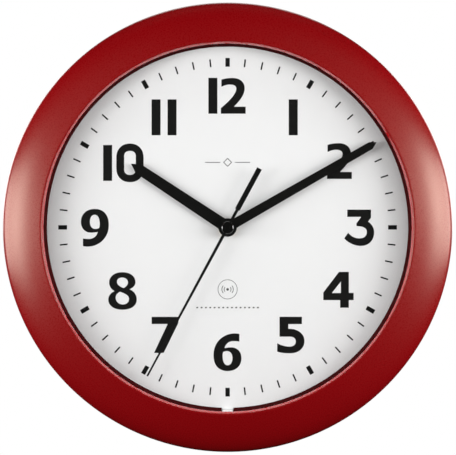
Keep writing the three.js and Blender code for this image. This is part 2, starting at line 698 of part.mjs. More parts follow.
function threadedBush() {
  return turned([
    [BUSH.bore, BUSH.back],
    [BUSH.flange, BUSH.back],
    [BUSH.flange, BUSH.flangeFront],
    [BUSH.radius, BUSH.flangeFront],
    [BUSH.radius, BUSH.front],
    [BUSH.bore, BUSH.front],
  ], MORE_SIDES);
}

function fixingNut() {
  const corners = onCircle(6, NUT.acrossFlats / Math.sqrt(3));
  const hexagon = new THREE.Shape(corners.map(({ x, z }) => new THREE.Vector2(x, z)));
  const hole = pin(BUSH.radius + GAP, NUT.back - 1, NUT.front + 1, 0, 0, MORE_SIDES);
  return cut(plate(hexagon, NUT.back, NUT.front), hole);
}

function rubberWasher() {
  const disc = pin(WASHER.radius, WASHER.back, WASHER.front, 0, 0, MORE_SIDES);
  return cut(disc, pin(BUSH.radius + GAP, WASHER.back - 1, WASHER.front + 1, 0, 0, MORE_SIDES));
}

/** The steel hanger: it is clamped in front of the movement, runs back over its top and ends in a lug. */
function hangerPlate() {
  const half = HANGER.width / 2;
  const back = HANGER.front - HANGER.thick;
  const strap = new THREE.Shape();
  strap.absarc(0, 0, half, Math.PI, 2 * Math.PI);
  strap.lineTo(half, HANGER.shelf + HANGER.thick);
  strap.lineTo(-half, HANGER.shelf + HANGER.thick);
  const body = join(
    plate(strap, back, HANGER.front),
    block(-half, half, HANGER.shelf, HANGER.shelf + HANGER.thick, HANGER.lugBack, HANGER.front),
    plate(roundedRectangle(-half, half, HANGER.shelf, HANGER.top, 3), HANGER.lugBack, HANGER.lugFront),
  );
  const slotTop = HANGER_RISE - KEYHOLE.slotRadius;
  const slotHalf = KEYHOLE.slotRadius;
  return cut(
    body,
    pin(BUSH.radius + GAP, back - 1, HANGER.front + 1),
    pin(KEYHOLE.headRadius, 0, HANGER.lugFront + 1, 0, KEYHOLE.headZ),
    pin(slotHalf, 0, HANGER.lugFront + 1, 0, slotTop),
    block(-slotHalf, slotHalf, KEYHOLE.headZ, slotTop, 0, HANGER.lugFront + 1),
  );
}

// ---------------------------------------------------------------- battery and contacts

const CONTACT = { half: 5.4, thick: 0.5, back: 3.8, front: 15 };
const SPRING = { turns: 3, wide: 4.4, narrow: 2.4, wire: 0.25 };

function battery() {
  const { left, right, nub, radius, nubRadius, z, depth } = BATTERY;
  const can = barAlongX(radius, left, right, z, depth, MORE_SIDES);
  return join(can, barAlongX(nubRadius, right - 1, nub, z, depth));
}

function positiveContact() {
  const left = BATTERY.nub + GAP;
  const { half, thick, back, front } = CONTACT;
  return block(left, left + thick, BATTERY.z - half, BATTERY.z + half, back, front);
}

/** The negative contact: a conical spring wound on a small plate. */
function springContact() {
  const plateLeft = BAY.left + GAP;
  const plateRight = plateLeft + CONTACT.thick;
  const springLength = BATTERY.left - GAP - plateRight;
  const steps = 12 * SPRING.turns;
  const points = Array.from({ length: steps + 1 }, (_, i) => {
    const share = i / steps;
    const angle = 2 * Math.PI * SPRING.turns * share;
    const radius = THREE.MathUtils.lerp(SPRING.wide, SPRING.narrow, share);
    return new THREE.Vector3(
      plateRight + (springLength - SPRING.wire) * share,
      -BATTERY.depth + radius * Math.sin(angle),
      BATTERY.z + radius * Math.cos(angle),
    );
  });
  const wire = new THREE.Shape();
  wire.absarc(0, 0, SPRING.wire, 0, 2 * Math.PI);
  const coil = new THREE.ExtrudeGeometry(wire, {
    steps,
    curveSegments: 3,
    extrudePath: new THREE.CatmullRomCurve3(points),
  });
  const { half, back, front } = CONTACT;
  const foot = block(plateLeft, plateRight, BATTERY.z - half, BATTERY.z + half, back, front);
  return join(foot, toSolid(coil));
}

// ---------------------------------------------------------------- assembly

const clock = new THREE.Group();
clock.position.z = -HANGER_RISE;   // the axis of the hands is below the nail

/** Adds a named piece with one finish. A turned piece is clockwise as the clock is read. */
function add(name, solid, finishName, clockwise = 0, axis = { x: 0, z: 0 }) {
  const material = new THREE.MeshStandardMaterial(FINISHES[finishName]);
  const mesh = new THREE.Mesh(toGeometry(solid), material);
  mesh.name = name;
  mesh.position.set(axis.x, 0, axis.z);
  mesh.rotation.y = THREE.MathUtils.degToRad(clockwise);
  clock.add(mesh);
}

/** Adds a gear that turns on its own arbor. */
function addGear(name, { axis, solid }, finishName = 'gearPlastic') {
  add(name, solid, finishName, 0, axis);
}

add('front_case', frontCase(), 'redPlastic');
add('retaining_ring', retainingRing(), 'darkMaroon');
add('lens', lens(), 'clearLens');
add('dial_plate', dialPlate(), 'dialWhite');
onCircle(BOSS.count, BOSS.circle).forEach(({ x, z }, i) => {
  add(`dial_screw_${i + 1}`, dialScrew(x, z), 'screwSteel');
});

add('hour_hand', handOnHub(HOUR_HAND, HOUR_TUBE), 'handBlack', HOUR_HAND.angle);
add('minute_hand', handOnHub(MINUTE_HAND, MINUTE_TUBE), 'handBlack', MINUTE_HAND.angle);
add('second_hand', secondHand(), 'handBlack', SECOND_HAND.angle);
add('centre_cap', centreCap(), 'handBlack');

add('fixing_nut', fixingNut(), 'brass');
add('threaded_bush', threadedBush(), 'brass');
add('rubber_washer', rubberWasher(), 'rubber');
add('hanger_plate', hangerPlate(), 'nickel');
add('movement_front_housing', frontHousing(), 'housingBlack');
add('movement_rear_housing', rearHousing(), 'housingBlack');

add('seconds_wheel', secondsWheel(), 'gearPlastic');
add('minute_wheel', minuteWheel(), 'gearPlastic');
add('hour_wheel', hourWheel(), 'gearPlastic');
addGear('third_wheel', thirdWheel());
addGear('intermediate_wheel', intermediateWheel());
addGear('motion_wheel', motionWheel());
addGear('rotor_pinion', rotorPinion());
addGear('rotor_magnet', rotorMagnet(), 'ferrite');

add('stator_plate', statorPlate(), 'nickel');
add('coil_core', coilCore(), 'nickel');
add('coil_bobbin', coilBobbin(), 'gearPlastic');
add('coil_winding', coilWinding(), 'copper');
add('antenna_rod', antennaRod(), 'ferrite');
add('antenna_winding', antennaWinding(), 'copper');
add('circuit_board', circuitBoard(), 'boardGreen');
add('driver_chip', driverChip(), 'chipBlack');
add('quartz_crystal', quartzCrystal(), 'nickel');
add('capacitor', capacitor(), 'chipBlack');
for (const [use, z] of Object.entries(BUTTON_HEIGHTS)) {
  add(`${use}_switch`, tactSwitch(z), 'chipBlack');
  add(`${use}_button`, pushButton(z), 'buttonGrey');
}

add('battery', battery(), 'batteryLabel');
add('positive_contact', positiveContact(), 'nickel');
add('spring_contact', springContact(), 'nickel');

export default clock;
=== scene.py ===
"""The looks of the radio-controlled wall clock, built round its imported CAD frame.

Shapes are drawn in millimetres in the plane of the dial, about the axis of the hands: x to the right as
the clock is read, z up, and a depth counted from the wall towards the reader. place() and the mesh
makers turn them into the frame's metres. Each maker builds finer meshes on the sizes of the CAD nodes
that they replace. The nodes that stay, such as the gears, get their materials at the end.
"""

import json
import math
from collections import namedtuple

import bmesh
import bpy
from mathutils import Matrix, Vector
from mathutils.geometry import tessellate_polygon


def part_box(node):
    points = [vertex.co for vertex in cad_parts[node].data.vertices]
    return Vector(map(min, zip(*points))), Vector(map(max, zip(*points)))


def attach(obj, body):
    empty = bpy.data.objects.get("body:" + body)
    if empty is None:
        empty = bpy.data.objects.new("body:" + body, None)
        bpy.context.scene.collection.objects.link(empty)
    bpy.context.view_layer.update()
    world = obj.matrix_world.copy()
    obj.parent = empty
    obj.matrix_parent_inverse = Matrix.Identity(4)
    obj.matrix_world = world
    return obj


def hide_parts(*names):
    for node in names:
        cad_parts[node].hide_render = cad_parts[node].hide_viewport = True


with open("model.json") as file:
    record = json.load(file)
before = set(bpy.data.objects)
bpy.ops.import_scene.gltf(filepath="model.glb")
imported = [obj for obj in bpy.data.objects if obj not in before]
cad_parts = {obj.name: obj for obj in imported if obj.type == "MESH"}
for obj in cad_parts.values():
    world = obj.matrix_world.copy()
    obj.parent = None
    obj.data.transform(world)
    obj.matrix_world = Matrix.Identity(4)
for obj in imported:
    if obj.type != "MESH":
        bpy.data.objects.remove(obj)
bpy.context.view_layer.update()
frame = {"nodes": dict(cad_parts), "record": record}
SLOT_OF = {part["node"]: part["material_slot"] for part in frame["record"]["subparts"]}

# ---- sizes from the frame, in mm

MM = 0.001
Limits = namedtuple("Limits", "left right low high back front")


def limits(node):
    """A CAD node's limits in mm about the axis of the hands, its depths counted from the wall."""
    low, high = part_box(node)
    return Limits(
        (low.x - AXIS.x) / MM,
        (high.x - AXIS.x) / MM,
        (low.z - AXIS.z) / MM,
        (high.z - AXIS.z) / MM,
        -high.y / MM,
        -low.y / MM,
    )


lens_low, lens_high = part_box("lens")
AXIS = (lens_low + lens_high) / 2
AXIS.y = 0

CASE = limits("front_case")
LENS = limits("lens")
DIAL = limits("dial_plate")
RING = limits("retaining_ring")
MOVEMENT_FRONT = limits("movement_front_housing")
MOVEMENT_REAR = limits("movement_rear_housing")
BATTERY = limits("battery")
HANGER = limits("hanger_plate")
NUT = limits("fixing_nut")
BUSH = limits("threaded_bush")
WASHER = limits("rubber_washer")
CAP = limits("centre_cap")

GAP = 0.3
BUSH_RADIUS = 4
BUSH_HOLE = BUSH_RADIUS + GAP
DIAL_FRONT = RING.back - GAP  # the printed face, behind the raised tab
TAB_WIDTH = 7.2
PIN_RADIUS = 0.9  # the seconds arbor, which the second hand and the cap sit on
SCREWS = 6

HOUR_ANGLE = 303.4  # clockwise from 12, as the CAD sets the hands
MINUTE_ANGLE = 60.2
SECOND_ANGLE = 208.4

FULL_TURN = 360
AROUND = 288  # facets round the case, the lens and the ring
SMOOTH = 96  # facets of a smaller round piece
SHARP = math.radians(32)  # a steeper edge isn't smoothed


def polar(radius, degrees):
    """The point x, z at a radius, the angle counted clockwise from 12."""
    angle = math.radians(degrees)
    return radius * math.sin(angle), radius * math.cos(angle)


def place(x, z, depth):
    """A point of the drawing as a place in the frame, in metres."""
    return Vector((AXIS.x + x * MM, -depth * MM, AXIS.z + z * MM))


# ---- materials


MIX_DARK, MIX_LIGHT, MIX_COLOR = 6, 7, 2  # a Mix node's two colour inputs and its colour output


class Surface:
    """A Principled material built up from procedural layers, in the piece's own coordinates."""

    def __init__(self, name, color, roughness, metallic=0.0, **inputs):
        self.material = bpy.data.materials.new(name)
        self.material.use_nodes = True
        self.material.diffuse_color = (*color, 1)
        self.tree = self.material.node_tree
        self.shader = self.tree.nodes["Principled BSDF"]
        self.color = color
        self.set(self.shader, Base_Color=(*color, 1), Roughness=roughness, Metallic=metallic, **inputs)
        self.coordinates = self.node("TexCoord").outputs["Object"]
        self.height = None

    def set(self, node, **inputs):
        for name, value in inputs.items():
            node.inputs[name.replace("_", " ")].default_value = value

    def node(self, kind, **inputs):
        node = self.tree.nodes.new("ShaderNode" + kind)
        self.set(node, **inputs)
        return node

    def link(self, source, target):
        self.tree.links.new(source, target)

    def noise(self, size, detail=3.0, stretch=(1, 1, 1)):
        """Noise whose spots are about size metres across, from 0 to 1."""
        mapping = self.node("Mapping", Scale=[1 / (size * s) for s in stretch])
        self.link(self.coordinates, mapping.inputs["Vector"])
        noise = self.node("TexNoise", Scale=1.0, Detail=detail)
        self.link(mapping.outputs["Vector"], noise.inputs["Vector"])
        return noise.outputs["Fac"]

    def map_range(self, source, from_low, from_high, to_low=0, to_high=1):
        mapped = self.node("MapRange", From_Min=from_low, From_Max=from_high, To_Min=to_low, To_Max=to_high)
        self.link(source, mapped.inputs["Value"])
        return mapped.outputs["Result"]

    def ranged(self, noise, low, high):
        """The middle of a noise's range, spread from low to high."""
        return self.map_range(noise, 0.3, 0.7, low, high)

    def mottle(self, size, amount, detail=3.0, stretch=(1, 1, 1)):
        """Lightens and darkens the colour by a share of itself."""
        share = self.ranged(self.noise(size, detail, stretch), 0, 1)
        mix = self.node("Mix")
        mix.data_type = "RGBA"
        mix.inputs[MIX_DARK].default_value = (*[c * (1 - amount) for c in self.color], 1)
        mix.inputs[MIX_LIGHT].default_value = (*[min(1, c * (1 + amount)) for c in self.color], 1)
        self.link(share, mix.inputs["Factor"])
        self.link(mix.outputs[MIX_COLOR], self.shader.inputs["Base Color"])
        return self

    def gloss(self, size, low, high, stretch=(1, 1, 1)):
        """Varies the roughness between two values."""
        self.link(self.ranged(self.noise(size, 2, stretch), low, high), self.shader.inputs["Roughness"])
        return self

    def grain(self, size, depth, detail=2.0, stretch=(1, 1, 1)):
        """Adds a relief of the given depth in metres."""
        bump = self.node("Bump", Strength=1.0, Distance=depth)
        self.link(self.noise(size, detail, stretch), bump.inputs["Height"])
        if self.height:
            self.link(self.height, bump.inputs["Normal"])
        self.height = bump.outputs["Normal"]
        self.link(self.height, self.shader.inputs["Normal"])
        return self

    def bands(self, axis, stops):
        """Colours in bands along one axis: stops are (place in metres, colour)."""
        split = self.node("SeparateXYZ")
        self.link(self.coordinates, split.inputs["Vector"])
        first, last = stops[0][0], stops[-1][0]
        ramp = self.node("ValToRGB")
        ramp.color_ramp.interpolation = "CONSTANT"
        elements = ramp.color_ramp.elements
        while len(elements) < len(stops):
            elements.new(0.5)
        for element, (at, color) in zip(elements, stops):
            element.position = (at - first) / (last - first)
            element.color = (*color, 1)
        self.link(self.map_range(split.outputs[axis], first, last), ramp.inputs["Fac"])
        self.link(ramp.outputs["Color"], self.shader.inputs["Base Color"])
        return self


def case_red():
    warm = (1, 0.84, 0.7, 1)
    surface = Surface("case_red", (0.2, 0.0004, 0.002), 0.28, Specular_Tint=warm, Specular_IOR_Level=0.72)
    surface.mottle(0.06, 0.015, 1.0).gloss(0.0008, 0.26, 0.3)
    return surface.grain(0.0006, 0.000004).material


def lip_red_painted_light():
    """The case's red where its edge round the lens is polished, its red painted about twice as light as the
    case's: a painted highlight for the light the lip catches.
    """
    surface = Surface("case_red_polished_painted_light", (0.42, 0.003, 0.006), 0.16, IOR=1.8, Specular_IOR_Level=0.8)
    return surface.gloss(0.01, 0.13, 0.2).material


# Painted shade: the ring's near-black and its lack of reflection stand for the case's red inner wall in the
# shadow of the lip.
def ring_dark():
    surface = Surface("ring_dark", (0.05, 0.005, 0.005), 0.85, Specular_IOR_Level=0.0)
    return surface.mottle(0.005, 0.15).grain(0.0004, 0.00001).material


def lens_clear():
    surface = Surface("lens_clear", (0.01, 0.012, 0.014), 0.03, Alpha=0.05, IOR=1.49)
    return surface.gloss(0.05, 0.02, 0.05).material


def dial_white():
    surface = Surface("dial_white", (0.87, 0.872, 0.868), 0.6)
    return surface.mottle(0.01, 0.006).grain(0.0004, 0.000003).material


BLACK = (0.003, 0.0027, 0.002)


def dial_print(name="dial_print", color=BLACK):
    surface = Surface(name, color, 0.5, Specular_IOR_Level=0.3)
    return surface.mottle(0.0012, 0.15).gloss(0.002, 0.45, 0.6).material


def hand_black():
    surface = Surface("hand_black", BLACK, 0.36, Specular_IOR_Level=0.4)
    return surface.mottle(0.002, 0.2).gloss(0.004, 0.32, 0.4).grain(0.0003, 0.000002).material


def cap_black():
    """The hands' black with the polish of the cap."""
    return Surface("hand_black_polished", BLACK, 0.12, IOR=1.9).gloss(0.001, 0.1, 0.14).material


def metal(name, color, roughness, stretch=(1, 1, 1)):
    """A metal finish with fine lines along the stretched axis."""
    surface = Surface(name, color, roughness, 1.0)
    surface.mottle(0.003, 0.03).gloss(0.0002, roughness - 0.03, roughness + 0.03, stretch)
    return surface.grain(0.00015, 0.00000004, 1.0, stretch).material


def moulded(name, color, roughness, texture=0.00001):
    """Plastic with the fine sparked texture of its mould."""
    surface = Surface(name, color, roughness)
    surface.mottle(0.004, 0.06).gloss(0.001, roughness - 0.06, roughness + 0.06)
    return surface.grain(0.0003, texture, 4.0).material


def rubber():
    return Surface("rubber", (0.02, 0.02, 0.02), 0.85).mottle(0.001, 0.2).grain(0.0003, 0.00001).material


def ferrite():
    return Surface("ferrite", (0.05, 0.05, 0.055), 0.65).mottle(0.0006, 0.35).grain(0.0002, 0.00001).material


def board_green():
    surface = Surface("board_green", (0.02, 0.14, 0.06), 0.35)
    return surface.mottle(0.0012, 0.4, 0.0, (1, 8, 0.3)).grain(0.0008, 0.00002, 0.0, (0.4, 8, 1)).material


def battery_label():
    left, right = BATTERY.left * MM, BATTERY.right * MM
    blue, silver, steel = (0.03, 0.09, 0.32), (0.6, 0.6, 0.6), (0.75, 0.74, 0.72)
    surface = Surface("battery_label", blue, 0.25, 0.6, Coat_Weight=0.6, Coat_Roughness=0.1)
    surface.bands("X", [
        (left, steel),
        (left + 0.0008, blue),
        (right - 0.017, silver),
        (right - 0.0155, (0.5, 0.02, 0.02)),
        (right - 0.0025, steel),
        (right, steel),
    ])
    return surface.gloss(0.002, 0.2, 0.32).material


MATERIALS = {
    "case_red": case_red(),
    "ring_dark": ring_dark(),
    "lens_clear": lens_clear(),
    "dial_white": dial_white(),
    "dial_print": dial_print(),
    "hand_black": hand_black(),
    "screw_steel": metal("screw_steel", (0.6, 0.6, 0.61), 0.32),
    "brass": metal("brass", (0.72, 0.52, 0.22), 0.28),
    "rubber": rubber(),
    "plated_steel": metal("plated_steel", (0.66, 0.65, 0.62), 0.34, (1, 1, 4)),
    "housing_black": moulded("housing_black", (0.018, 0.019, 0.02), 0.5),
    "gear_plastic": moulded("gear_plastic", (0.78, 0.75, 0.64), 0.42, 0.000003),
    "ferrite": ferrite(),
    "copper_wire": metal("copper_wire", (0.72, 0.3, 0.12), 0.3),
    "board_green": board_green(),
    "component_black": moulded("component_black", (0.014, 0.014, 0.015), 0.45),
    "button_grey": moulded("button_grey", (0.3, 0.31, 0.32), 0.5, 0.000005),
    "battery_label": battery_label(),
}
# a lighter copy of the case's red, painted light for the lip
LIP_RED_PAINTED_LIGHT = lip_red_painted_light()
CAP_BLACK = cap_black()
GREY_PRINT = dial_print("dial_print_grey", (0.1, 0.1, 0.095))

# ---- meshes


def in_scene(name, data):
    item = bpy.data.objects.new(name, data)
    bpy.context.scene.collection.objects.link(item)
    return item


def add(name, bm, node, body="case", slot=None, material=None):
    """Makes a piece from a bmesh in metres, in place of a CAD node, and lets it ride on a body."""
    slot = slot or SLOT_OF[node]
    bmesh.ops.recalc_face_normals(bm, faces=bm.faces)
    mesh = bpy.data.meshes.new(name)
    bm.to_mesh(mesh)
    bm.free()
    mesh.shade_smooth()
    mesh.set_sharp_from_angle(angle=SHARP)
    mesh.materials.append(material or MATERIALS[slot])
    piece = in_scene(name, mesh)
    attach(piece, body)
    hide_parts(node)
    return piece


def along_depth(x, z):
    """Places points about an axis from the wall to the reader, through x and z."""
    return lambda across, up, along: place(x + across, z + up, along)


def along_x(z, depth):
    """Places points about an axis from left to right."""
    return lambda across, up, along: place(along, z + across, depth + up)


def along_z(x, depth):
    """Places points about an upright axis."""
    return lambda across, up, along: place(x + across, along, depth + up)


def revolve(outline, about=place, segments=SMOOTH, start=0.0, sweep=FULL_TURN, bm=None):
    """A closed outline of (radius, place along the axis) points, turned about an axis."""
    bm = bm or bmesh.new()
    full = sweep == FULL_TURN
    rings = []
    for i in range(segments if full else segments + 1):
        across, up = polar(1, start + sweep * i / segments)
        rings.append([bm.verts.new(about(radius * across, radius * up, along)) for radius, along in outline])
    for i in range(segments):
        here, there = rings[i], rings[(i + 1) % len(rings)]
        for j in range(len(outline)):
            k = (j + 1) % len(outline)
            if outline[j][0] > 0 or outline[k][0] > 0:
                bm.faces.new((here[j], here[k], there[k], there[j]))
    if not full:
        bm.faces.new(rings[0])
        bm.faces.new(rings[-1])
    bmesh.ops.remove_doubles(bm, verts=bm.verts, dist=1e-7)
    return bm


def extrude(loops, low, high, about=place, bm=None):
    """A flat piece from loops of points: the first is the outline and the others are holes."""
    bm = bm or bmesh.new()
    triangles = tessellate_polygon([[Vector((*point, 0)) for point in loop] for loop in loops])
    sides = []
    for along in (low, high):
        sides.append([bm.verts.new(about(across, up, along)) for loop in loops for across, up in loop])
    for side in sides:
        for corners in triangles:
            bm.faces.new([side[i] for i in corners])
    first = 0
    for loop in loops:
        for i in range(len(loop)):
            a, b = first + i, first + (i + 1) % len(loop)
            bm.faces.new((sides[0][a], sides[0][b], sides[1][b], sides[1][a]))
        first += len(loop)
    return bm


def merge_flats(bm):
    """Makes one face of the triangles that lie in one plane."""
    bmesh.ops.recalc_face_normals(bm, faces=bm.faces)
    bmesh.ops.dissolve_limit(bm, angle_limit=math.radians(0.5), verts=bm.verts, edges=bm.edges)


def round_edges(bm, width, steeper_than=50):
    """Rounds the edges that are steeper than an angle, the width in mm."""
    merge_flats(bm)
    steep = math.radians(steeper_than)
    edges = [e for e in bm.edges if len(e.link_faces) == 2 and e.calc_face_angle() > steep]
    size = width * MM
    bmesh.ops.bevel(bm, geom=edges, offset=size, segments=2, profile=0.5, affect="EDGES", clamp_overlap=True)
    return bm


def keep_flats_flat(piece):
    """Keeps the large faces of a piece with rounded edges flat in shading."""
    normals = piece.modifiers.new("flat_faces", "WEIGHTED_NORMAL")
    normals.keep_sharp = True


def arc(x, z, radius, start, end, steps=8):
    """Points on an arc, its angles clockwise from 12."""
    points = []
    for i in range(steps + 1):
        dx, dz = polar(radius, start + (end - start) * i / steps)
        points.append((x + dx, z + dz))
    return points


def circle(radius, x=0.0, z=0.0, steps=SMOOTH):
    return arc(x, z, radius, 0, FULL_TURN, steps)[:-1]


def rectangle(left, right, low, high, corner=0.0, steps=8):
    """A rectangle with round corners, as a loop of points."""
    if not corner:
        return [(left, low), (right, low), (right, high), (left, high)]
    left, right, low, high = left + corner, right - corner, low + corner, high - corner
    corners = [(right, high, 0), (right, low, 90), (left, low, 180), (left, high, 270)]
    return [point for x, z, start in corners for point in arc(x, z, corner, start, start + 90, steps)]


def bezier(start, first, second, end, steps):
    """The points of a cubic curve after its start."""
    a, b, c, d = (Vector(point) for point in (start, first, second, end))
    points = []
    for i in range(1, steps + 1):
        t = i / steps
        p = (1 - t) ** 3 * a + 3 * (1 - t) ** 2 * t * b + 3 * (1 - t) * t * t * c + t ** 3 * d
        points.append((p.x, p.y))
    return points


def trace(outline, steps=9):
    """The points of an outline: an entry of 2 numbers ends a straight line, and one of 6 a cubic curve."""
    points = [outline[0]]
    for entry in outline[1:]:
        if len(entry) == 2:
            points.append(entry)
        else:
            points += bezier(points[-1], entry[0:2], entry[2:4], entry[4:6], steps)
    if (Vector(points[0]) - Vector(points[-1])).length < 1e-6:
        points.pop()
    return points


def turned_by(points, degrees):
    """Points turned clockwise about the axis."""
    c, s = math.cos(math.radians(degrees)), math.sin(math.radians(degrees))
    return [(x * c + z * s, z * c - x * s) for x, z in points]


def combined(bm, *others, operation="DIFFERENCE"):
    """A bmesh cut by the solids of the others, or kept only inside them."""
    objects = []
    for solid in (bm, *others):
        bmesh.ops.recalc_face_normals(solid, faces=solid.faces)
        mesh = bpy.data.meshes.new("carving")
        solid.to_mesh(mesh)
        solid.free()
        objects.append(in_scene("carving", mesh))
    for tool in objects[1:]:
        cut = objects[0].modifiers.new("cut", "BOOLEAN")
        cut.object = tool
        cut.operation = operation
        cut.solver = "EXACT"
    shaped = objects[0].evaluated_get(bpy.context.evaluated_depsgraph_get()).to_mesh()
    result = bmesh.new()
    result.from_mesh(shaped)
    for item in objects:
        bpy.data.meshes.remove(item.data)  # which removes the object too
    return result


def spread(points, by):
    """A closed loop of points moved outwards by a distance, its corners kept sharp."""
    area = sum(a[0] * b[1] - b[0] * a[1] for a, b in zip(points, points[1:] + points[:1]))
    side = math.copysign(by, area)
    moved = []
    for i, point in enumerate(points):
        here = Vector(point)
        before = (here - Vector(points[i - 1])).normalized()
        after = (Vector(points[(i + 1) % len(points)]) - here).normalized()
        across = Vector((before.y + after.y, -before.x - after.x))
        at = here + across * (2 * side / across.length_squared)
        moved.append((at.x, at.y))
    return moved


def block(left, right, low, high, back, front):
    return extrude([rectangle(left, right, low, high)], back, front)


def chamfered(inner, outer, back, front, edge=0.2):
    """The outline of a disc or a ring whose outer edges are broken."""
    corners = [(outer - edge, back), (outer, back + edge), (outer, front - edge), (outer - edge, front)]
    return [(inner, back), *corners, (inner, front)]


# ---- case, ring and lens

OPENING_RADIUS = LENS.right - 2.1
LENS_SEAT = LENS.front + GAP
LIP_EDGE = (OPENING_RADIUS + 1.15, CASE.front - 0.55)
LINER = (LENS.right + GAP, LENS.right + GAP + 2)  # the case's inner wall, round the lens and the ring
CASE_WALL = 2.2
RIM_DEPTH = CASE.front - 12.5  # where the case is widest
REAR_RADIUS = CASE.right - 3
CROWN = (OPENING_RADIUS + 2, CASE.front)
CROWN_HANDLES = (CASE.right - 17, CASE.front - 2), (CASE.right - 6.2, CASE.front - 4.6)
SHOULDER = (CASE.right - 1.4, CASE.front - 9.2)
CROWN_STEPS = 28
LINER_STEPS = 6  # the crown's first steps, over the liner
RIBS = 12
RIB_WIDTH = 1.6
BOSS_CIRCLE = 130.3  # where the screws of the dial go


def crown_points(steps, inwards=0.0):
    """The curve of the case's front, from the lip to the shoulder, or a line inside it."""
    points = [CROWN] + bezier(CROWN, *CROWN_HANDLES, SHOULDER, steps)
    if not inwards:
        return points
    moved = []
    for i, (radius, depth) in enumerate(points):
        before, after = Vector(points[max(i - 1, 0)]), Vector(points[min(i + 1, steps)])
        along = (after - before).normalized()
        moved.append((radius + inwards * along.y, depth - inwards * along.x))
    return moved


def lip_outline():
    """The polished slanting edge between the lens and the crown."""
    inner, outer, seat = OPENING_RADIUS, LIP_EDGE[0], LENS_SEAT
    return [(inner, seat), (inner, seat + 0.2), LIP_EDGE, (outer, seat)]


def case_outline():
    """The crown, the side and the inner walls, outside the lip."""
    lip, front = LIP_EDGE[0], CASE.front
    crest = bezier(LIP_EDGE, (lip + 0.2, front - 0.15), (lip + 0.4, front), CROWN, 6)
    radius = CASE.right
    rim = (radius, RIM_DEPTH)
    corner = bezier(SHOULDER, (radius - 0.5, SHOULDER[1] - 1), (radius, RIM_DEPTH + 1.2), rim, 8)
    side = [(radius, RIM_DEPTH - 0.6), (REAR_RADIUS + 0.05, 0.4), (REAR_RADIUS - 0.35, 0)]
    inner_side = [(REAR_RADIUS - CASE_WALL, 0), (radius - CASE_WALL, RIM_DEPTH)]
    skin = crown_points(CROWN_STEPS, CASE_WALL)[LINER_STEPS:]
    inner, outer = LINER
    foot = DIAL_FRONT + GAP
    liner = [(outer, skin[0][1]), (outer, foot), (inner, foot), (inner, LENS_SEAT), (lip, LENS_SEAT)]
    crown = crown_points(CROWN_STEPS)[1:]
    return [LIP_EDGE] + crest + crown + corner + side + inner_side + skin[::-1] + liner


def case_rib(degrees, bm):
    """A stiffening rib in the hollow between the liner and the outer skin."""
    under_crown = crown_points(8, CASE_WALL / 2)[1:]
    inner, foot = LINER[1] - 1, DIAL_FRONT + 2 * GAP
    side, side_end = CASE.right - CASE_WALL / 2, 20
    taper = (CASE.right - REAR_RADIUS) * (RIM_DEPTH - side_end) / RIM_DEPTH
    outline = [(inner, foot), (inner, under_crown[0][1]), *under_crown]
    outline += [(side, RIM_DEPTH), (side - taper, side_end), (DIAL.right + 2, foot)]
    across, up = polar(1, degrees)

    def about(radius, depth, aside):
        return place(radius * across + aside * up, radius * up - aside * across, depth)

    extrude([outline], -RIB_WIDTH / 2, RIB_WIDTH / 2, about, bm)


def boss_places():
    return [polar(BOSS_CIRCLE, 90 + FULL_TURN * i / SCREWS) for i in range(SCREWS)]


def make_case():
    """The crown and liner, the lip, the ribs in the hollow and the screws' bosses."""
    add("case_ring", revolve(case_outline(), segments=AROUND), "front_case")
    # the lip's lighter red is a painted highlight
    add("case_lip", revolve(lip_outline(), segments=AROUND), "front_case", material=LIP_RED_PAINTED_LIGHT)
    ribs = bmesh.new()
    for i in range(RIBS):
        case_rib(FULL_TURN * (i + 0.5) / RIBS, ribs)
    add("case_ribs", ribs, "front_case")
    back, top, radius = DIAL_FRONT + GAP, 36.2, 4
    bore, bore_end = 1.5, 30
    outline = [(bore, back), (radius, back), (radius, top), (0, top), (0, bore_end), (bore, bore_end)]
    bosses = bmesh.new()
    for x, z in boss_places():
        revolve(outline, along_depth(x, z), SMOOTH // 2, bm=bosses)
    add("case_bosses", bosses, "front_case")


def make_ring():
    """The ring between the dial and the lens, painted near-black as painted shade for the shadow under the
    lip, open round the dial's tab.
    """
    back, front = RING.back, RING.front
    back_bore, front_bore = OPENING_RADIUS - 1.5, OPENING_RADIUS - 0.2
    outline = [(back_bore, back), (RING.right, back), (RING.right, front), (front_bore + 0.25, front)]
    outline += [(front_bore + 0.05, front - 0.06), (front_bore - 0.01, front - 0.25)]
    half = math.degrees((TAB_WIDTH / 2 + GAP) / back_bore)
    ring = revolve(outline, place, AROUND, 180 + half, FULL_TURN - 2 * half)
    add("retaining_ring_fine", ring, "retaining_ring")


def make_lens():
    outline = chamfered(0, LENS.right, LENS.back, LENS.front)
    add("lens_fine", revolve(outline, segments=AROUND), "lens")


# ---- dial


def make_dial():
    """The white disc with its screw holes, and the tab that locates the ring at 6 o'clock."""
    back, front, radius = DIAL.back, DIAL_FRONT, DIAL.right
    disc = revolve([(BUSH_HOLE, back), (radius, back), (radius, front), (BUSH_HOLE, front)], segments=AROUND)
    screw_hole = 1.6
    holes = [extrude([circle(screw_hole, x, z, 32)], back - 1, front + 1) for x, z in boss_places()]
    keep_flats_flat(add("dial_disc", combined(disc, *holes), "dial_plate"))
    half, tab_low, tab_high = TAB_WIDTH / 2, -LENS.right + GAP, -LENS.right + 2.7
    tab = extrude([rectangle(-half, half, tab_low, tab_high, 0.5, 4)], DIAL_FRONT, DIAL.front)
    add("dial_tab", round_edges(tab, 0.25, 60), "dial_plate")


# The numerals are 23.7 mm high. Each digit is drawn about its own centre, as loops for trace().
HALF_HEIGHT = 11.85
STEM = 2.85

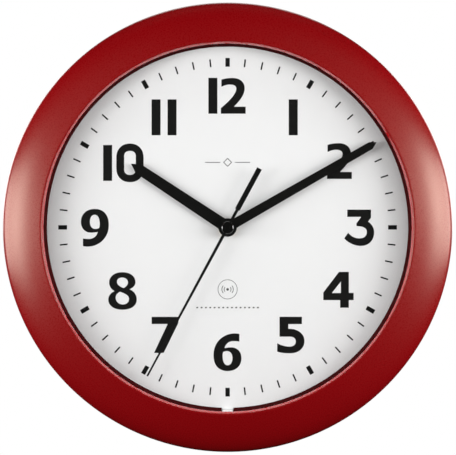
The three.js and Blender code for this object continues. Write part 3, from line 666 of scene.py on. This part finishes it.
DIGITS = {
    "1": [rectangle(-STEM, STEM, -HALF_HEIGHT, HALF_HEIGHT)],
    "2": [[
        (-8.13, -HALF_HEIGHT), (8.13, -HALF_HEIGHT), (8.13, -7.45), (0.1, -7.45),
        (3.6, -3.9, 7.5, 0.4, 7.5, 5), (7.5, 9.2, 4.2, 11.75, -0.2, 11.75),
        (-3.2, 11.75, -5.8, 11.4, -7.8, 10.65), (-7.8, 6.2), (-6, 7.1, -4.2, 7.65, -2.2, 7.65),
        (0.9, 7.65, 2.2, 6.4, 2.2, 4.6), (2.2, 0.8, -4, -4.9, -8.13, -8.3),
    ]],
    "3": [[
        (-7.6, 12.05), (8, 12.05), (8, 6.9), (7.6, 6.2, 6.6, 5, 5.9, 4.1),
        (8.6, 2.6, 10.1, -0.1, 10.1, -3.1), (10.1, -8.4, 6.6, -12, 1.3, -12),
        (-3, -12, -7, -9.8, -9.6, -7.1), (-7.15, -3.55), (-5.4, -5.7, -2.8, -7.2, 0.3, -7.2),
        (3.6, -7.2, 5.5, -5.6, 5.5, -2.9), (5.5, 0, 3, 1.25, -1.4, 1.25), (-1.5, 2.8), (1.8, 7.45),
        (-7.6, 7.45),
    ]],
    "4": [[
        (0.5, HALF_HEIGHT), (6.9, HALF_HEIGHT), (6.9, -2.2), (10.1, -2.2), (10.1, -6.75), (6.9, -6.75),
        (6.9, -HALF_HEIGHT), (1.35, -HALF_HEIGHT), (1.35, -6.75), (-9.9, -6.75), (-9.9, -1.85),
    ], [
        (1.55, 5.1), (1.55, -2), (-4, -2),
    ]],
    "5": [[
        (-7.2, 12), (7.5, 12), (7.5, 7.4), (-1.6, 7.4), (-1.6, 3.95),
        (4.6, 4.2, 9.2, 0.9, 9.2, -4), (9.2, -9.2, 5.2, -12.2, -0.4, -12.2),
        (-3.6, -12.2, -6.6, -11.8, -8.75, -11.1), (-8.75, -5.8), (-6.6, -7.1, -3.4, -8, -0.6, -8),
        (2.2, -8, 3.7, -6.5, 3.7, -4.4), (3.7, -2.3, 2.2, -1.05, -0.6, -1.05), (-7.2, -1.05),
    ]],
    "6": [[
        (7.85, 12.1), (5.6, 12.7, 2.6, 12.5, 0.2, 11.7), (-5.6, 9.6, -9.2, 4.6, -9.2, -2),
        (-9.2, -8.9, -5.6, -12.5, 0, -12.5), (5.6, -12.5, 9.2, -9.2, 9.2, -4),
        (9.2, 0.4, 6.4, 3.1, 2.6, 3.1), (0.9, 3.1, -0.6, 2.9, -2.1, 2.5),
        (-1.7, 5.3, 0.6, 7.6, 3.9, 7.6), (5.3, 7.6, 6.6, 7.5, 7.85, 7.3),
    ], [
        (-0.2, 0.6), (1.9, 0.6, 3.2, -1.3, 3.2, -3.9), (3.2, -6.6, 2.1, -8.6, 0.1, -8.6),
        (-2, -8.6, -3.1, -6, -3.1, -2.4), (-3.1, -1.2, -2.9, -0.3, -2.6, 0.1),
        (-1.8, 0.45, -1, 0.6, -0.2, 0.6),
    ]],
    "7": [[
        (-8.5, 11.95), (9.1, 11.95), (9.1, 8), (-0.7, -11.95), (-6.85, -11.95), (2.3, 7.45), (-8.5, 7.45),
    ]],
    "8": [[
        (-0.2, 12.35), (5.2, 12.35, 8.6, 9.8, 8.6, 5.8), (8.6, 3.7, 7, 2.1, 4.4, 1.1),
        (7.6, -0.2, 9.45, -2.7, 9.45, -5.9), (9.45, -10, 5.6, -12.5, 0, -12.5),
        (-5.6, -12.5, -9.3, -9.9, -9.3, -5.9), (-9.3, -3.2, -7.6, -1.2, -4.9, -0.2),
        (-7.4, 1, -8.75, 3.1, -8.75, 5.7), (-8.75, 9.6, -5.2, 12.35, -0.2, 12.35),
    ], [
        (-0.2, 8.75), (1.9, 8.75, 3.55, 7.6, 3.55, 5.6), (3.55, 4, 2.2, 2.8, 0.8, 2),
        (-1.2, 2.9, -3.5, 3.9, -3.5, 6.1), (-3.5, 7.7, -2.2, 8.75, -0.2, 8.75),
    ], [
        (-1.5, -0.75), (-3.2, -1.6, -4.4, -2.8, -4.4, -4.6), (-4.4, -7.2, -2.2, -8.95, 0.3, -8.95),
        (2.6, -8.95, 4.25, -7.6, 4.25, -5.4), (4.25, -2.9, 1.8, -2.2, -1.5, -0.75),
    ]],
    "0": [[
        (8.98, 3.6), (8.98, 9.2, 5.4, 12.85, 0, 12.85), (-5.4, 12.85, -8.98, 9.2, -8.98, 3.6),
        (-8.98, -3.6), (-8.98, -9.2, -5.4, -12.75, 0, -12.75), (5.4, -12.75, 8.98, -9.2, 8.98, -3.6),
    ], [
        (3.75, 4.6), (3.75, 6.8, 2.2, 7.9, 0, 7.9), (-2.2, 7.9, -3.75, 6.8, -3.75, 4.6),
        (-3.75, -4.4), (-3.75, -6.7, -2.2, -7.85, 0, -7.85), (2.2, -7.85, 3.75, -6.7, 3.75, -4.4),
    ]],
}
DIGITS["9"] = [[tuple(-number for number in entry) for entry in loop] for loop in DIGITS["6"]]

# The centres of the numerals, and where the digits of the wide ones stand across them.
NUMERALS = {
    "12": (-0.5, 88), "1": (43.9, 73.6), "2": (74.8, 44.4), "3": (87.8, -0.3),
    "4": (74.1, -41.8), "5": (42.1, -72), "6": (-0.1, -83.6), "7": (-42.2, -72),
    "8": (-70.4, -42.5), "9": (-88.8, -0.3), "10": (-69.8, 43.1), "11": (-42.5, 73.6),
}
PAIRS = {"12": (-9.33, 4.29), "10": (-10.45, 4.5), "11": (-5.35, 5.35)}

MINUTE_TRACK = (107.7, 112.9)  # the radii of the ends of the marks
HOUR_TRACK = (107.4, 113.3)
MINUTE_MARK = 1.0  # the widths of the marks
HOUR_MARK = 2.95
INK_SPREAD = 0.15  # the ink runs this far past the numerals' drawn edges
INK_BACK = DIAL_FRONT - 0.02
INK_FRONT = DIAL_FRONT + 0.04


def make_numerals():
    for hour, (x, z) in NUMERALS.items():
        ink = bmesh.new()
        for digit, across in zip(hour, PAIRS.get(hour, [0])):
            outline, *holes = [trace(loop) for loop in DIGITS[digit]]
            loops = [spread(outline, INK_SPREAD)] + [spread(hole, -INK_SPREAD) for hole in holes]
            extrude(loops, INK_BACK, INK_FRONT, along_depth(x + across, z), ink)
        add(f"numeral_{hour}", ink, "dial_plate", slot="dial_print")


def make_track():
    minutes = 60
    ink = bmesh.new()
    for minute in range(minutes):
        width, track = (MINUTE_MARK, MINUTE_TRACK) if minute % 5 else (HOUR_MARK, HOUR_TRACK)
        mark = rectangle(-width / 2, width / 2, *track)
        extrude([turned_by(mark, FULL_TURN * minute / minutes)], INK_BACK, INK_FRONT, bm=ink)
    add("minute_track", ink, "dial_plate", slot="dial_print")


def arc_band(radius, width, start, end):
    """A band along an arc, as a loop."""
    return arc(0, 0, radius + width / 2, start, end, 24) + arc(0, 0, radius - width / 2, end, start, 24)


def make_dial_marks():
    """Plain grey marks of no maker: a lozenge between two rules above, and radio waves below."""
    ink = bmesh.new()
    emblem, radio, rule = 43.5, -41.5, -53.7

    def draw(loops, z, x=0.0):
        extrude(loops, INK_BACK, INK_FRONT, along_depth(x, z), ink)

    draw([[(0, -r), (r, 0), (0, r), (-r, 0)] for r in (3.0, 2.3)], emblem)
    for left, right in ((-15, -5), (5, 15)):
        draw([rectangle(left, right, -0.25, 0.25)], emblem)
    draw([circle(6.6), circle(6.25)], radio)
    draw([circle(0.9, steps=32)], radio)
    for side in (90, 270):
        for radius in (2.3, 3.8):
            draw([arc_band(radius, 0.45, side - 40, side + 40)], radio)
    dots, pitch = 15, 2.9
    for i in range(dots):
        draw([rectangle(-0.6, 0.6, -0.45, 0.45)], rule, (i - (dots - 1) / 2) * pitch)
    add("dial_marks", ink, "dial_plate", slot="dial_print", material=GREY_PRINT)


# ---- hands

HUB_RADIUS = 6.15


def baton_loops(length, root, tip, hole):
    """A tapered hand on a round hub, with a 60 degree point, pointing at 12."""
    shoulder = length - tip / 2 * math.sqrt(3)
    across = root / 2
    for _ in range(3):  # closes in on where the hand's sides meet the hub
        up = math.sqrt(HUB_RADIUS ** 2 - across ** 2)
        across = root / 2 + (tip - root) / 2 * up / shoulder
    half_gap = math.degrees(math.asin(across / HUB_RADIUS))
    hub = arc(0, 0, HUB_RADIUS, half_gap, FULL_TURN - half_gap, 60)
    outline = hub + [(-tip / 2, shoulder), (0, length), (tip / 2, shoulder)]
    return [outline, circle(hole, steps=40)]


def make_baton(name, node, body, angle, size, hole):
    """The hour or minute hand: its size is its length, and its widths at the root and the tip."""
    back, front = limits(node).back, limits(node).front
    loops = [turned_by(loop, angle) for loop in baton_loops(*size, hole)]
    hand = extrude(loops, back, front)
    keep_flats_flat(add(name, round_edges(hand, 0.14), node, body))


def make_second_hand():
    """A thin blade with a wider tail, on a collet."""
    span = limits("second_hand")
    front, back = span.front, span.front - 0.4
    tail_start, tail_end, neck, tail = -13.6, -44.8, 1.0, 1.75
    root, tip, length, collet = 1.05, 0.6, 112.7, 2.2
    upper = math.degrees(math.asin(root / collet))
    lower = 180 - math.degrees(math.asin(neck / collet))
    bulge = arc(0, 0, collet, upper, lower, 16)
    right = [(tip, length), *bulge, (neck, tail_start), (tail, tail_start), (tail, tail_end)]
    outline = right + [(-x, z) for x, z in reversed(right)]
    hand = extrude([turned_by(outline, SECOND_ANGLE), circle(PIN_RADIUS, steps=32)], back, front)
    blade = round_edges(hand, 0.1)
    keep_flats_flat(add("second_hand_fine", blade, "second_hand", "seconds"))
    sleeve = revolve([(PIN_RADIUS, span.back), (collet, span.back), (collet, back), (PIN_RADIUS, back)])
    add("second_hand_collet", sleeve, "second_hand", "seconds")


def make_cap():
    """The cap over the hub, with a shallow dish."""
    radius, back, front = CAP.right, CAP.back, CAP.front
    shoulder, bore_end = front - 1.2, front - 1.1
    crest, edge, dish = radius - 1.7, 0.15, 0.35
    outline = [(PIN_RADIUS, back), (radius - edge, back), (radius, back + edge), (radius, shoulder)]
    outline += bezier(outline[-1], (radius, front - 0.4), (radius - 0.7, front), (crest, front), 12)
    outline += bezier((crest, front), (crest - 0.6, front), (crest - 0.7, front - dish), (0, front - dish), 8)
    outline += [(0, bore_end), (PIN_RADIUS, bore_end)]
    add("centre_cap_fine", revolve(outline), "centre_cap", "seconds", material=CAP_BLACK)


def make_hands():
    make_baton("hour_hand_fine", "hour_hand", "hours", HOUR_ANGLE, (77.3, 8.2, 6.9), 2.8)
    make_baton("minute_hand_fine", "minute_hand", "minutes", MINUTE_ANGLE, (114.5, 6.5, 5.1), 1.9)
    make_second_hand()
    make_cap()


# ---- fixings behind the dial


def middle(node):
    """The place x, z of a node's middle."""
    span = limits(node)
    return (span.left + span.right) / 2, (span.low + span.high) / 2


def thread(radius, depth, pitch, start, end):
    """The zigzag outline of a thread, as (radius, depth) points."""
    turns = int((end - start) / pitch)
    points = []
    for i in range(turns):
        at = start + i * pitch
        points += [(radius - depth, at), (radius, at + pitch / 2)]
    return points + [(radius - depth, start + turns * pitch)]


def make_screws():
    """Pan-head screws that hold the dial, driven in from behind."""
    for i in range(1, SCREWS + 1):
        node = f"dial_screw_{i}"
        x, z = middle(node)
        back, tip = limits(node).back, limits(node).front
        head, head_end = limits(node).right - x, back + 1.5
        outline = [(0, back), (head * 0.55, back)]
        outline += bezier(outline[-1], (head * 0.85, back), (head, back + 0.3), (head, back + 0.9), 6)
        outline += [(head, head_end - 0.1), (head - 0.1, head_end), (1.0, head_end)]
        outline += thread(1.2, 0.25, 0.8, head_end + 0.4, tip - 1.2) + [(0, tip)]
        long, wide, floor = 1.9, 0.4, back + 0.7
        screw = combined(
            revolve(outline, along_depth(x, z), SMOOTH // 2),
            block(x - long, x + long, z - wide, z + wide, back - 1, floor),
            block(x - wide, x + wide, z - long, z + long, back - 1, floor),
        )
        add(f"screw_{i}", screw, node)


def make_nut():
    """A hexagon nut, its corners cut away by a cone at each end."""
    corner = NUT.right
    hexagon = arc(0, 0, corner, 90, 90 + FULL_TURN, 6)[:-1]
    nut = extrude([hexagon, circle(BUSH_HOLE)], NUT.back, NUT.front)
    back, front = NUT.back - 0.01, NUT.front + 0.01
    chamfer, end_radius, wide = 0.56, corner * 0.955 - 0.1, corner + 0.3
    sides = [(end_radius, back), (wide, back + chamfer), (wide, front - chamfer), (end_radius, front)]
    barrel = revolve([(0, back), *sides, (0, front)])
    add("nut", combined(nut, barrel, operation="INTERSECT"), "fixing_nut")


def make_bush():
    """The bush that clamps the movement to the dial: a flange, a plain neck and a thread."""
    back, flange_front, front = BUSH.back, BUSH.back + 1.2, BUSH.front
    bore, neck_end = 2.8, BUSH.back + 3.1
    outline = [(bore, back), (BUSH.right, back), (BUSH.right, flange_front), (BUSH_RADIUS, flange_front)]
    outline += [(BUSH_RADIUS, neck_end)] + thread(BUSH_RADIUS, 0.22, 0.7, neck_end + 0.1, front - 0.2)
    outline += [(BUSH_RADIUS - 0.4, front), (bore, front)]
    add("bush", revolve(outline), "threaded_bush")


def make_washer():
    outline = chamfered(BUSH_HOLE, WASHER.right, WASHER.back, WASHER.front)
    add("washer", revolve(outline), "rubber_washer")


NAIL = -AXIS.z / MM  # how far the nail, at the frame's origin, is above the axis
SHELF = MOVEMENT_FRONT.high + 0.4  # the hanger's underside, over the movement


def make_hanger():
    """The steel hanger, a bent strip with the keyhole for the nail in its upright lug."""
    thick, outer, inner = 0.8, 1.5, 0.7  # the steel, and the radii of its bends
    front, back, lug = HANGER.front, HANGER.back, HANGER.back + 1.2
    half, top, corner, beyond = HANGER.right, HANGER.high, 3, 1
    bent = [(-half - beyond, front)]
    bent += arc(SHELF + thick - outer, front - outer, outer, 0, 90)
    bent += arc(SHELF + thick + inner, lug + inner, inner, 270, 180)
    bent += [(top + beyond, lug), (top + beyond, back)]
    lug_bend = outer + 0.4
    bent += arc(SHELF + lug_bend, back + lug_bend, lug_bend, 180, 270)
    bent += arc(SHELF - inner, front - thick - inner, inner, 90, 0)
    bent += [(-half - beyond, front - thick)]
    strip = extrude([bent], -half, half, along_x(0, 0))
    outline = arc(half - corner, top - corner, corner, 0, 90) + arc(0, 0, half, 90, 270, 40)
    outline += arc(-half + corner, top - corner, corner, 270, 360)
    head, slot, head_z = 4.4, 2.3, 33.9
    meet = math.degrees(math.asin(slot / head))
    keyhole = arc(0, head_z, head, meet, FULL_TURN - meet, 40) + arc(0, NAIL - slot, slot, 270, 450, 16)
    plan = extrude([outline, circle(BUSH_HOLE), keyhole], -1, 25)
    hanger = combined(strip, plan, operation="INTERSECT")
    keep_flats_flat(add("hanger", round_edges(hanger, 0.12), "hanger_plate"))


# ---- movement

SHELL = 1.4
PARTITION = (-17.2, -15.8)  # the wall between the gear train and the battery
BAY = (-27.9, 26.9)  # the ends of the battery's bay
CELL_Z = (BATTERY.low + BATTERY.high) / 2
CELL_DEPTH = (BATTERY.back + BATTERY.front) / 2
BUTTONS = ("set", "receive", "reset")
GEARS = ("third_wheel", "intermediate_wheel", "rotor_pinion")


def rounded_box(back, front, rounded_end):
    """The movement's outline between two depths, its edges rounded at one end."""
    span = MOVEMENT_REAR
    box = extrude([rectangle(span.left, span.right, span.low, span.high, 4)], back, front)
    merge_flats(box)
    at = -rounded_end * MM
    rim = [e for e in box.edges if all(abs(v.co.y - at) < 1e-6 for v in e.verts)]
    bmesh.ops.bevel(box, geom=rim, offset=0.8 * MM, segments=4, profile=0.5, affect="EDGES")
    return box


def chamber(back, front):
    """The space of the gear train, above the partition."""
    low, high = PARTITION[1], MOVEMENT_REAR.high - SHELL
    return block(MOVEMENT_REAR.left + SHELL, MOVEMENT_REAR.right - SHELL, low, high, back, front)


def bay(back, front):
    """The space of the battery, below the partition."""
    return block(*BAY, MOVEMENT_REAR.low + SHELL, PARTITION[0], back, front)


def make_front_housing():
    """The front half, with a post for each wheel that it carries."""
    back, front = MOVEMENT_FRONT.back, MOVEMENT_FRONT.front
    roof = front - SHELL
    housing = combined(
        rounded_box(back, front, front),
        chamber(back - 1, roof),
        bay(back - 1, roof),
        extrude([circle(BUSH_HOLE)], roof - 1, front + 1),
    )
    add("front_housing", housing, "movement_front_housing")
    posts = bmesh.new()
    post, bore, bore_end, end = 1.8, 0.8, 14.5, 11.5
    inside = roof + GAP
    outline = [(bore, end), (post - 0.3, end), (post, end + 0.3), (post, inside), (0, inside)]
    outline += [(0, bore_end), (bore, bore_end)]
    for node in GEARS:
        revolve(outline, along_depth(*middle(node)), 40, bm=posts)
    stud, end = 0.5, 11.3
    outline = [(0, end), (stud - 0.15, end), (stud, end + 0.2), (stud, inside), (0, inside)]
    revolve(outline, along_depth(*middle("motion_wheel")), 32, bm=posts)
    add("housing_posts", posts, "movement_front_housing")


def make_rear_housing():
    """The rear half, open at the bay, with holes for the buttons and pivots for the wheels."""
    back, front = MOVEMENT_REAR.back, MOVEMENT_REAR.front
    floor = back + SHELL
    button_hole, pivot, pivot_depth = 2.5, 0.9, floor - 0.8
    holes = [extrude([circle(button_hole, *middle(f"{use}_button"))], back - 1, floor + 1) for use in BUTTONS]
    pivots = [extrude([circle(pivot, *middle(node), 32)], pivot_depth, floor + 1) for node in GEARS]
    housing = combined(
        rounded_box(back, front, back),
        chamber(floor, front + 1),
        bay(back - 1, front + 1),
        extrude([circle(pivot)], pivot_depth, floor + 1),
        *holes,
        *pivots,
    )
    add("rear_housing", housing, "movement_rear_housing")
    make_housing_marks(back)


def make_housing_marks(back):
    """Low raised frames and signs."""
    marks = bmesh.new()

    def draw(loops, x=0.0, z=0.0):
        extrude(loops, back - 0.25, back + 0.1, along_depth(x, z), marks)

    left, right = BAY
    inner = rectangle(left - 0.7, right + 0.7, MOVEMENT_REAR.low + 0.9, PARTITION[0] + 0.5, 0.8)
    outer = rectangle(left - 1.9, right + 1.9, MOVEMENT_REAR.low + 0.3, PARTITION[0] + 1.3, 1.2)
    draw([outer, inner])
    for use in BUTTONS:
        draw([circle(3.6), circle(3.1)], *middle(f"{use}_button"))
    draw([rectangle(-15, 26, -12, 20, 2), rectangle(-14.4, 25.4, -11.4, 19.4, 1.5)])
    size, line, sign_height = 1.6, 0.35, -25.1
    plus, minus = 31, -31.5
    for x in (plus, minus):
        draw([rectangle(-size, size, -line, line)], x, sign_height)
    for low, high in ((line, size), (-size, -line)):
        draw([rectangle(-line, line, low, high)], plus, sign_height)
    add("rear_housing_marks", marks, "movement_rear_housing")


def make_buttons():
    """Dished push buttons with a flange behind the housing and a stem to the switch."""
    for use in BUTTONS:
        node = f"{use}_button"
        span = limits(node)
        x, z = middle(node)
        back, front, flange = span.back, span.front, span.right - x
        radius, rim, stem, dish = 2.2, 1.7, 1.2, 0.3
        flange_back, flange_front = 3.7, 4.3
        outline = [(0, back + dish)]
        outline += bezier(outline[0], (1.0, back + dish), (1.3, back), (rim, back), 6)
        outline += bezier((rim, back), (2.05, back), (radius, back + 0.15), (radius, back + 0.5), 4)
        outline += [(radius, flange_back), (flange, flange_back), (flange, flange_front)]
        outline += [(stem, flange_front), (stem, front), (0, front)]
        add(f"{use}_key", revolve(outline, along_depth(x, z)), node, f"{use}_key")


def make_battery():
    """An AA cell with a plain label, its raised end to the right."""
    left, nub = BATTERY.left, BATTERY.right
    radius = (BATTERY.high - BATTERY.low) / 2
    can = nub - 1.1
    outline = [(0, left + 0.1), (4.6, left + 0.1), (5.2, left), (6.0, left), (radius - 0.3, left + 0.35)]
    outline += [(radius, left + 0.7), (radius, can - 1.1)]
    outline += bezier((radius, can - 1.1), (radius, can - 0.4), (6.6, can - 0.1), (5.6, can - 0.1), 6)
    outline += [(5.2, can - 0.35), (3.2, can - 0.35), (2.7, can), (2.7, nub - 0.25), (2.45, nub), (0, nub)]
    add("battery_cell", revolve(outline, along_x(CELL_Z, CELL_DEPTH)), "battery", "battery")


CONTACT_THICK = 0.5


def contact_plate(left):
    """The flat plate of a battery contact, across the end of the battery."""
    outline = rectangle(CELL_Z - 5.4, CELL_Z + 5.4, 3.8, 15, 1.2)
    plate = extrude([outline], left, left + CONTACT_THICK, along_x(0, 0))
    return round_edges(plate, 0.1, 40)


def make_contacts():
    """A dimpled plate at the battery's nub, and one with a spring at its foot."""
    left = limits("positive_contact").left
    plate = contact_plate(left)
    dimple = [(0, left - 0.2), (1.0, left - 0.18), (1.8, left - 0.05), (2.2, left + 0.1), (0, left + 0.1)]
    revolve(dimple, along_x(CELL_Z, CELL_DEPTH), 48, bm=plate)
    add("plus_contact", plate, "positive_contact")
    left, right = limits("spring_contact").left, limits("spring_contact").right
    spring = contact_plate(left)
    coil_spring(spring, left + CONTACT_THICK, right - 0.25)
    add("minus_contact", spring, "spring_contact")


def coil_spring(bm, left, right):
    """A conical spring, wound from its wide foot at the left to its narrow end."""
    turns, wide, narrow, wire, sides = 3, 4.4, 2.4, 0.25, 12
    steps = 40 * turns
    rings = []
    for i in range(steps + 1):
        share = i / steps
        radius = wide + (narrow - wide) * share
        across, up = polar(1, FULL_TURN * turns * share)
        along = left + (right - left) * share
        ring = []
        for k in range(sides):
            outwards, sideways = polar(wire, FULL_TURN * k / sides)
            r = radius + outwards
            ring.append(bm.verts.new(place(along + sideways, CELL_Z + r * across, CELL_DEPTH + r * up)))
        rings.append(ring)
    for here, there in zip(rings, rings[1:]):
        for k in range(sides):
            n = (k + 1) % sides
            bm.faces.new((here[k], here[n], there[n], there[k]))
    bm.faces.new(rings[0])
    bm.faces.new(rings[-1])


def winding_outline(bore, radius, start, end, turns):
    """The outline of wire wound on a former: a scallop for each turn."""
    pitch = (end - start) / turns
    points = [(bore, start)]
    for i in range(turns):
        at = start + i * pitch
        points += [(radius - pitch * 0.3, at), (radius, at + pitch * 0.3), (radius, at + pitch * 0.7)]
    return points + [(radius - pitch * 0.3, end), (bore, end)]


def make_windings():
    """The wire round the antenna's rod, along x, and round the motor's coil former, along z."""
    span = limits("antenna_winding")
    radius, depth = (span.high - span.low) / 2, (span.back + span.front) / 2
    outline = winding_outline(3.1, radius, span.left, span.right, 60)
    add("antenna_wire", revolve(outline, along_x(span.low + radius, depth), 48), "antenna_winding")
    span = limits("coil_winding")
    radius, depth = (span.right - span.left) / 2, (span.back + span.front) / 2
    outline = winding_outline(2.5, radius, span.low, span.high, 40)
    add("coil_wire", revolve(outline, along_z(span.left + radius, depth), 48), "coil_winding")


# ---- camera and light

CAMERA_DISTANCE = 2.2  # in metres
CAMERA_ELEVATION = 1.0
AIM_RIGHT = 0.27  # how far the picture's centre is right of the axis
CASE_SHARE = 0.98553  # how much of the picture's width the case takes
SENSOR = 36


def aimed(name, data, target, azimuth, elevation, distance):
    """A camera or a light that faces a place: azimuth 0 is in front of the dial and 90 to its right."""
    a, e = math.radians(azimuth), math.radians(elevation)
    away = Vector((math.sin(a) * math.cos(e), -math.cos(a) * math.cos(e), math.sin(e)))
    holder = in_scene(name, data)
    holder.location = target + away * distance
    holder.rotation_mode = "QUATERNION"
    holder.rotation_quaternion = (-away).to_track_quat("-Z", "Y")
    return holder


def make_camera():
    data = bpy.data.cameras.new("camera")
    data.sensor_width = SENSOR
    data.lens = CASE_SHARE * SENSOR * CAMERA_DISTANCE / (2 * CASE.right * MM)
    target = place(AIM_RIGHT, 0, RIM_DEPTH)
    bpy.context.scene.camera = aimed("camera", data, target, 0, CAMERA_ELEVATION, CAMERA_DISTANCE)


def softbox(name, azimuth, elevation, distance, size, power, glossy=True):
    """An area light that faces the dial, its distance and size in metres and its power in watts."""
    light = bpy.data.lights.new(name, "AREA")
    light.shape = "RECTANGLE"
    light.size, light.size_y = size
    light.energy = power
    holder = aimed(name, light, place(0, 0, RIM_DEPTH), azimuth, elevation, distance)
    holder.visible_camera = False
    holder.visible_glossy = glossy


def make_world():
    """White behind the object, and dim grey for everything that lights it."""
    world = bpy.data.worlds.new("world")
    bpy.context.scene.world = world
    world.use_nodes = True
    tree = world.node_tree
    tree.nodes.clear()
    mix = tree.nodes.new("ShaderNodeMixShader")
    lighting, seen = (1, 0.02), (2, 1.0)  # each an input of the mix, and a grey
    for socket, grey in (lighting, seen):
        background = tree.nodes.new("ShaderNodeBackground")
        background.inputs["Color"].default_value = (grey, grey, grey, 1)
        tree.links.new(background.outputs["Background"], mix.inputs[socket])
    path = tree.nodes.new("ShaderNodeLightPath")
    output = tree.nodes.new("ShaderNodeOutputWorld")
    tree.links.new(path.outputs["Is Camera Ray"], mix.inputs["Fac"])
    tree.links.new(mix.outputs["Shader"], output.inputs["Surface"])


def make_lights():
    """The case's side gleams, the dial's light, which nothing glossy mirrors, and lights for the back."""
    softbox("key_left", -45, 1, 1.5, (0.6, 0.3), 2.1)
    softbox("key_right", 45, 6, 1.5, (0.6, 0.3), 2.1)
    softbox("side_left", -70, 1, 0.65, (0.6, 0.28), 4.2)
    softbox("side_right", 70, 4, 0.65, (0.6, 0.28), 4.55)
    softbox("fill_left", -27, 12, 0.9, (0.5, 0.6), 2.5, glossy=False)
    softbox("fill_right", 27, 14, 0.9, (0.5, 0.6), 2.5, glossy=False)
    softbox("overhead", 0, 75, 1.2, (1.0, 0.5), 3.0, glossy=False)
    softbox("back_left", -142, 12, 1.7, (1.0, 0.8), 12)
    softbox("back_right", 142, 12, 1.7, (1.0, 0.8), 12)
    softbox("back_fill", 180, 45, 1.8, (1.2, 0.8), 8)


make_camera()
make_world()
make_lights()
bpy.context.scene.view_settings.view_transform = "Standard"

make_case()
make_ring()
make_lens()
make_dial()
make_numerals()
make_track()
make_dial_marks()
make_hands()
make_screws()
make_nut()
make_bush()
make_washer()
make_hanger()
make_front_housing()
make_rear_housing()
make_buttons()
make_battery()
make_contacts()
make_windings()

# ---- the CAD's own pieces

for node, piece in frame["nodes"].items():
    piece.data.materials.clear()
    piece.data.materials.append(MATERIALS[SLOT_OF[node]])
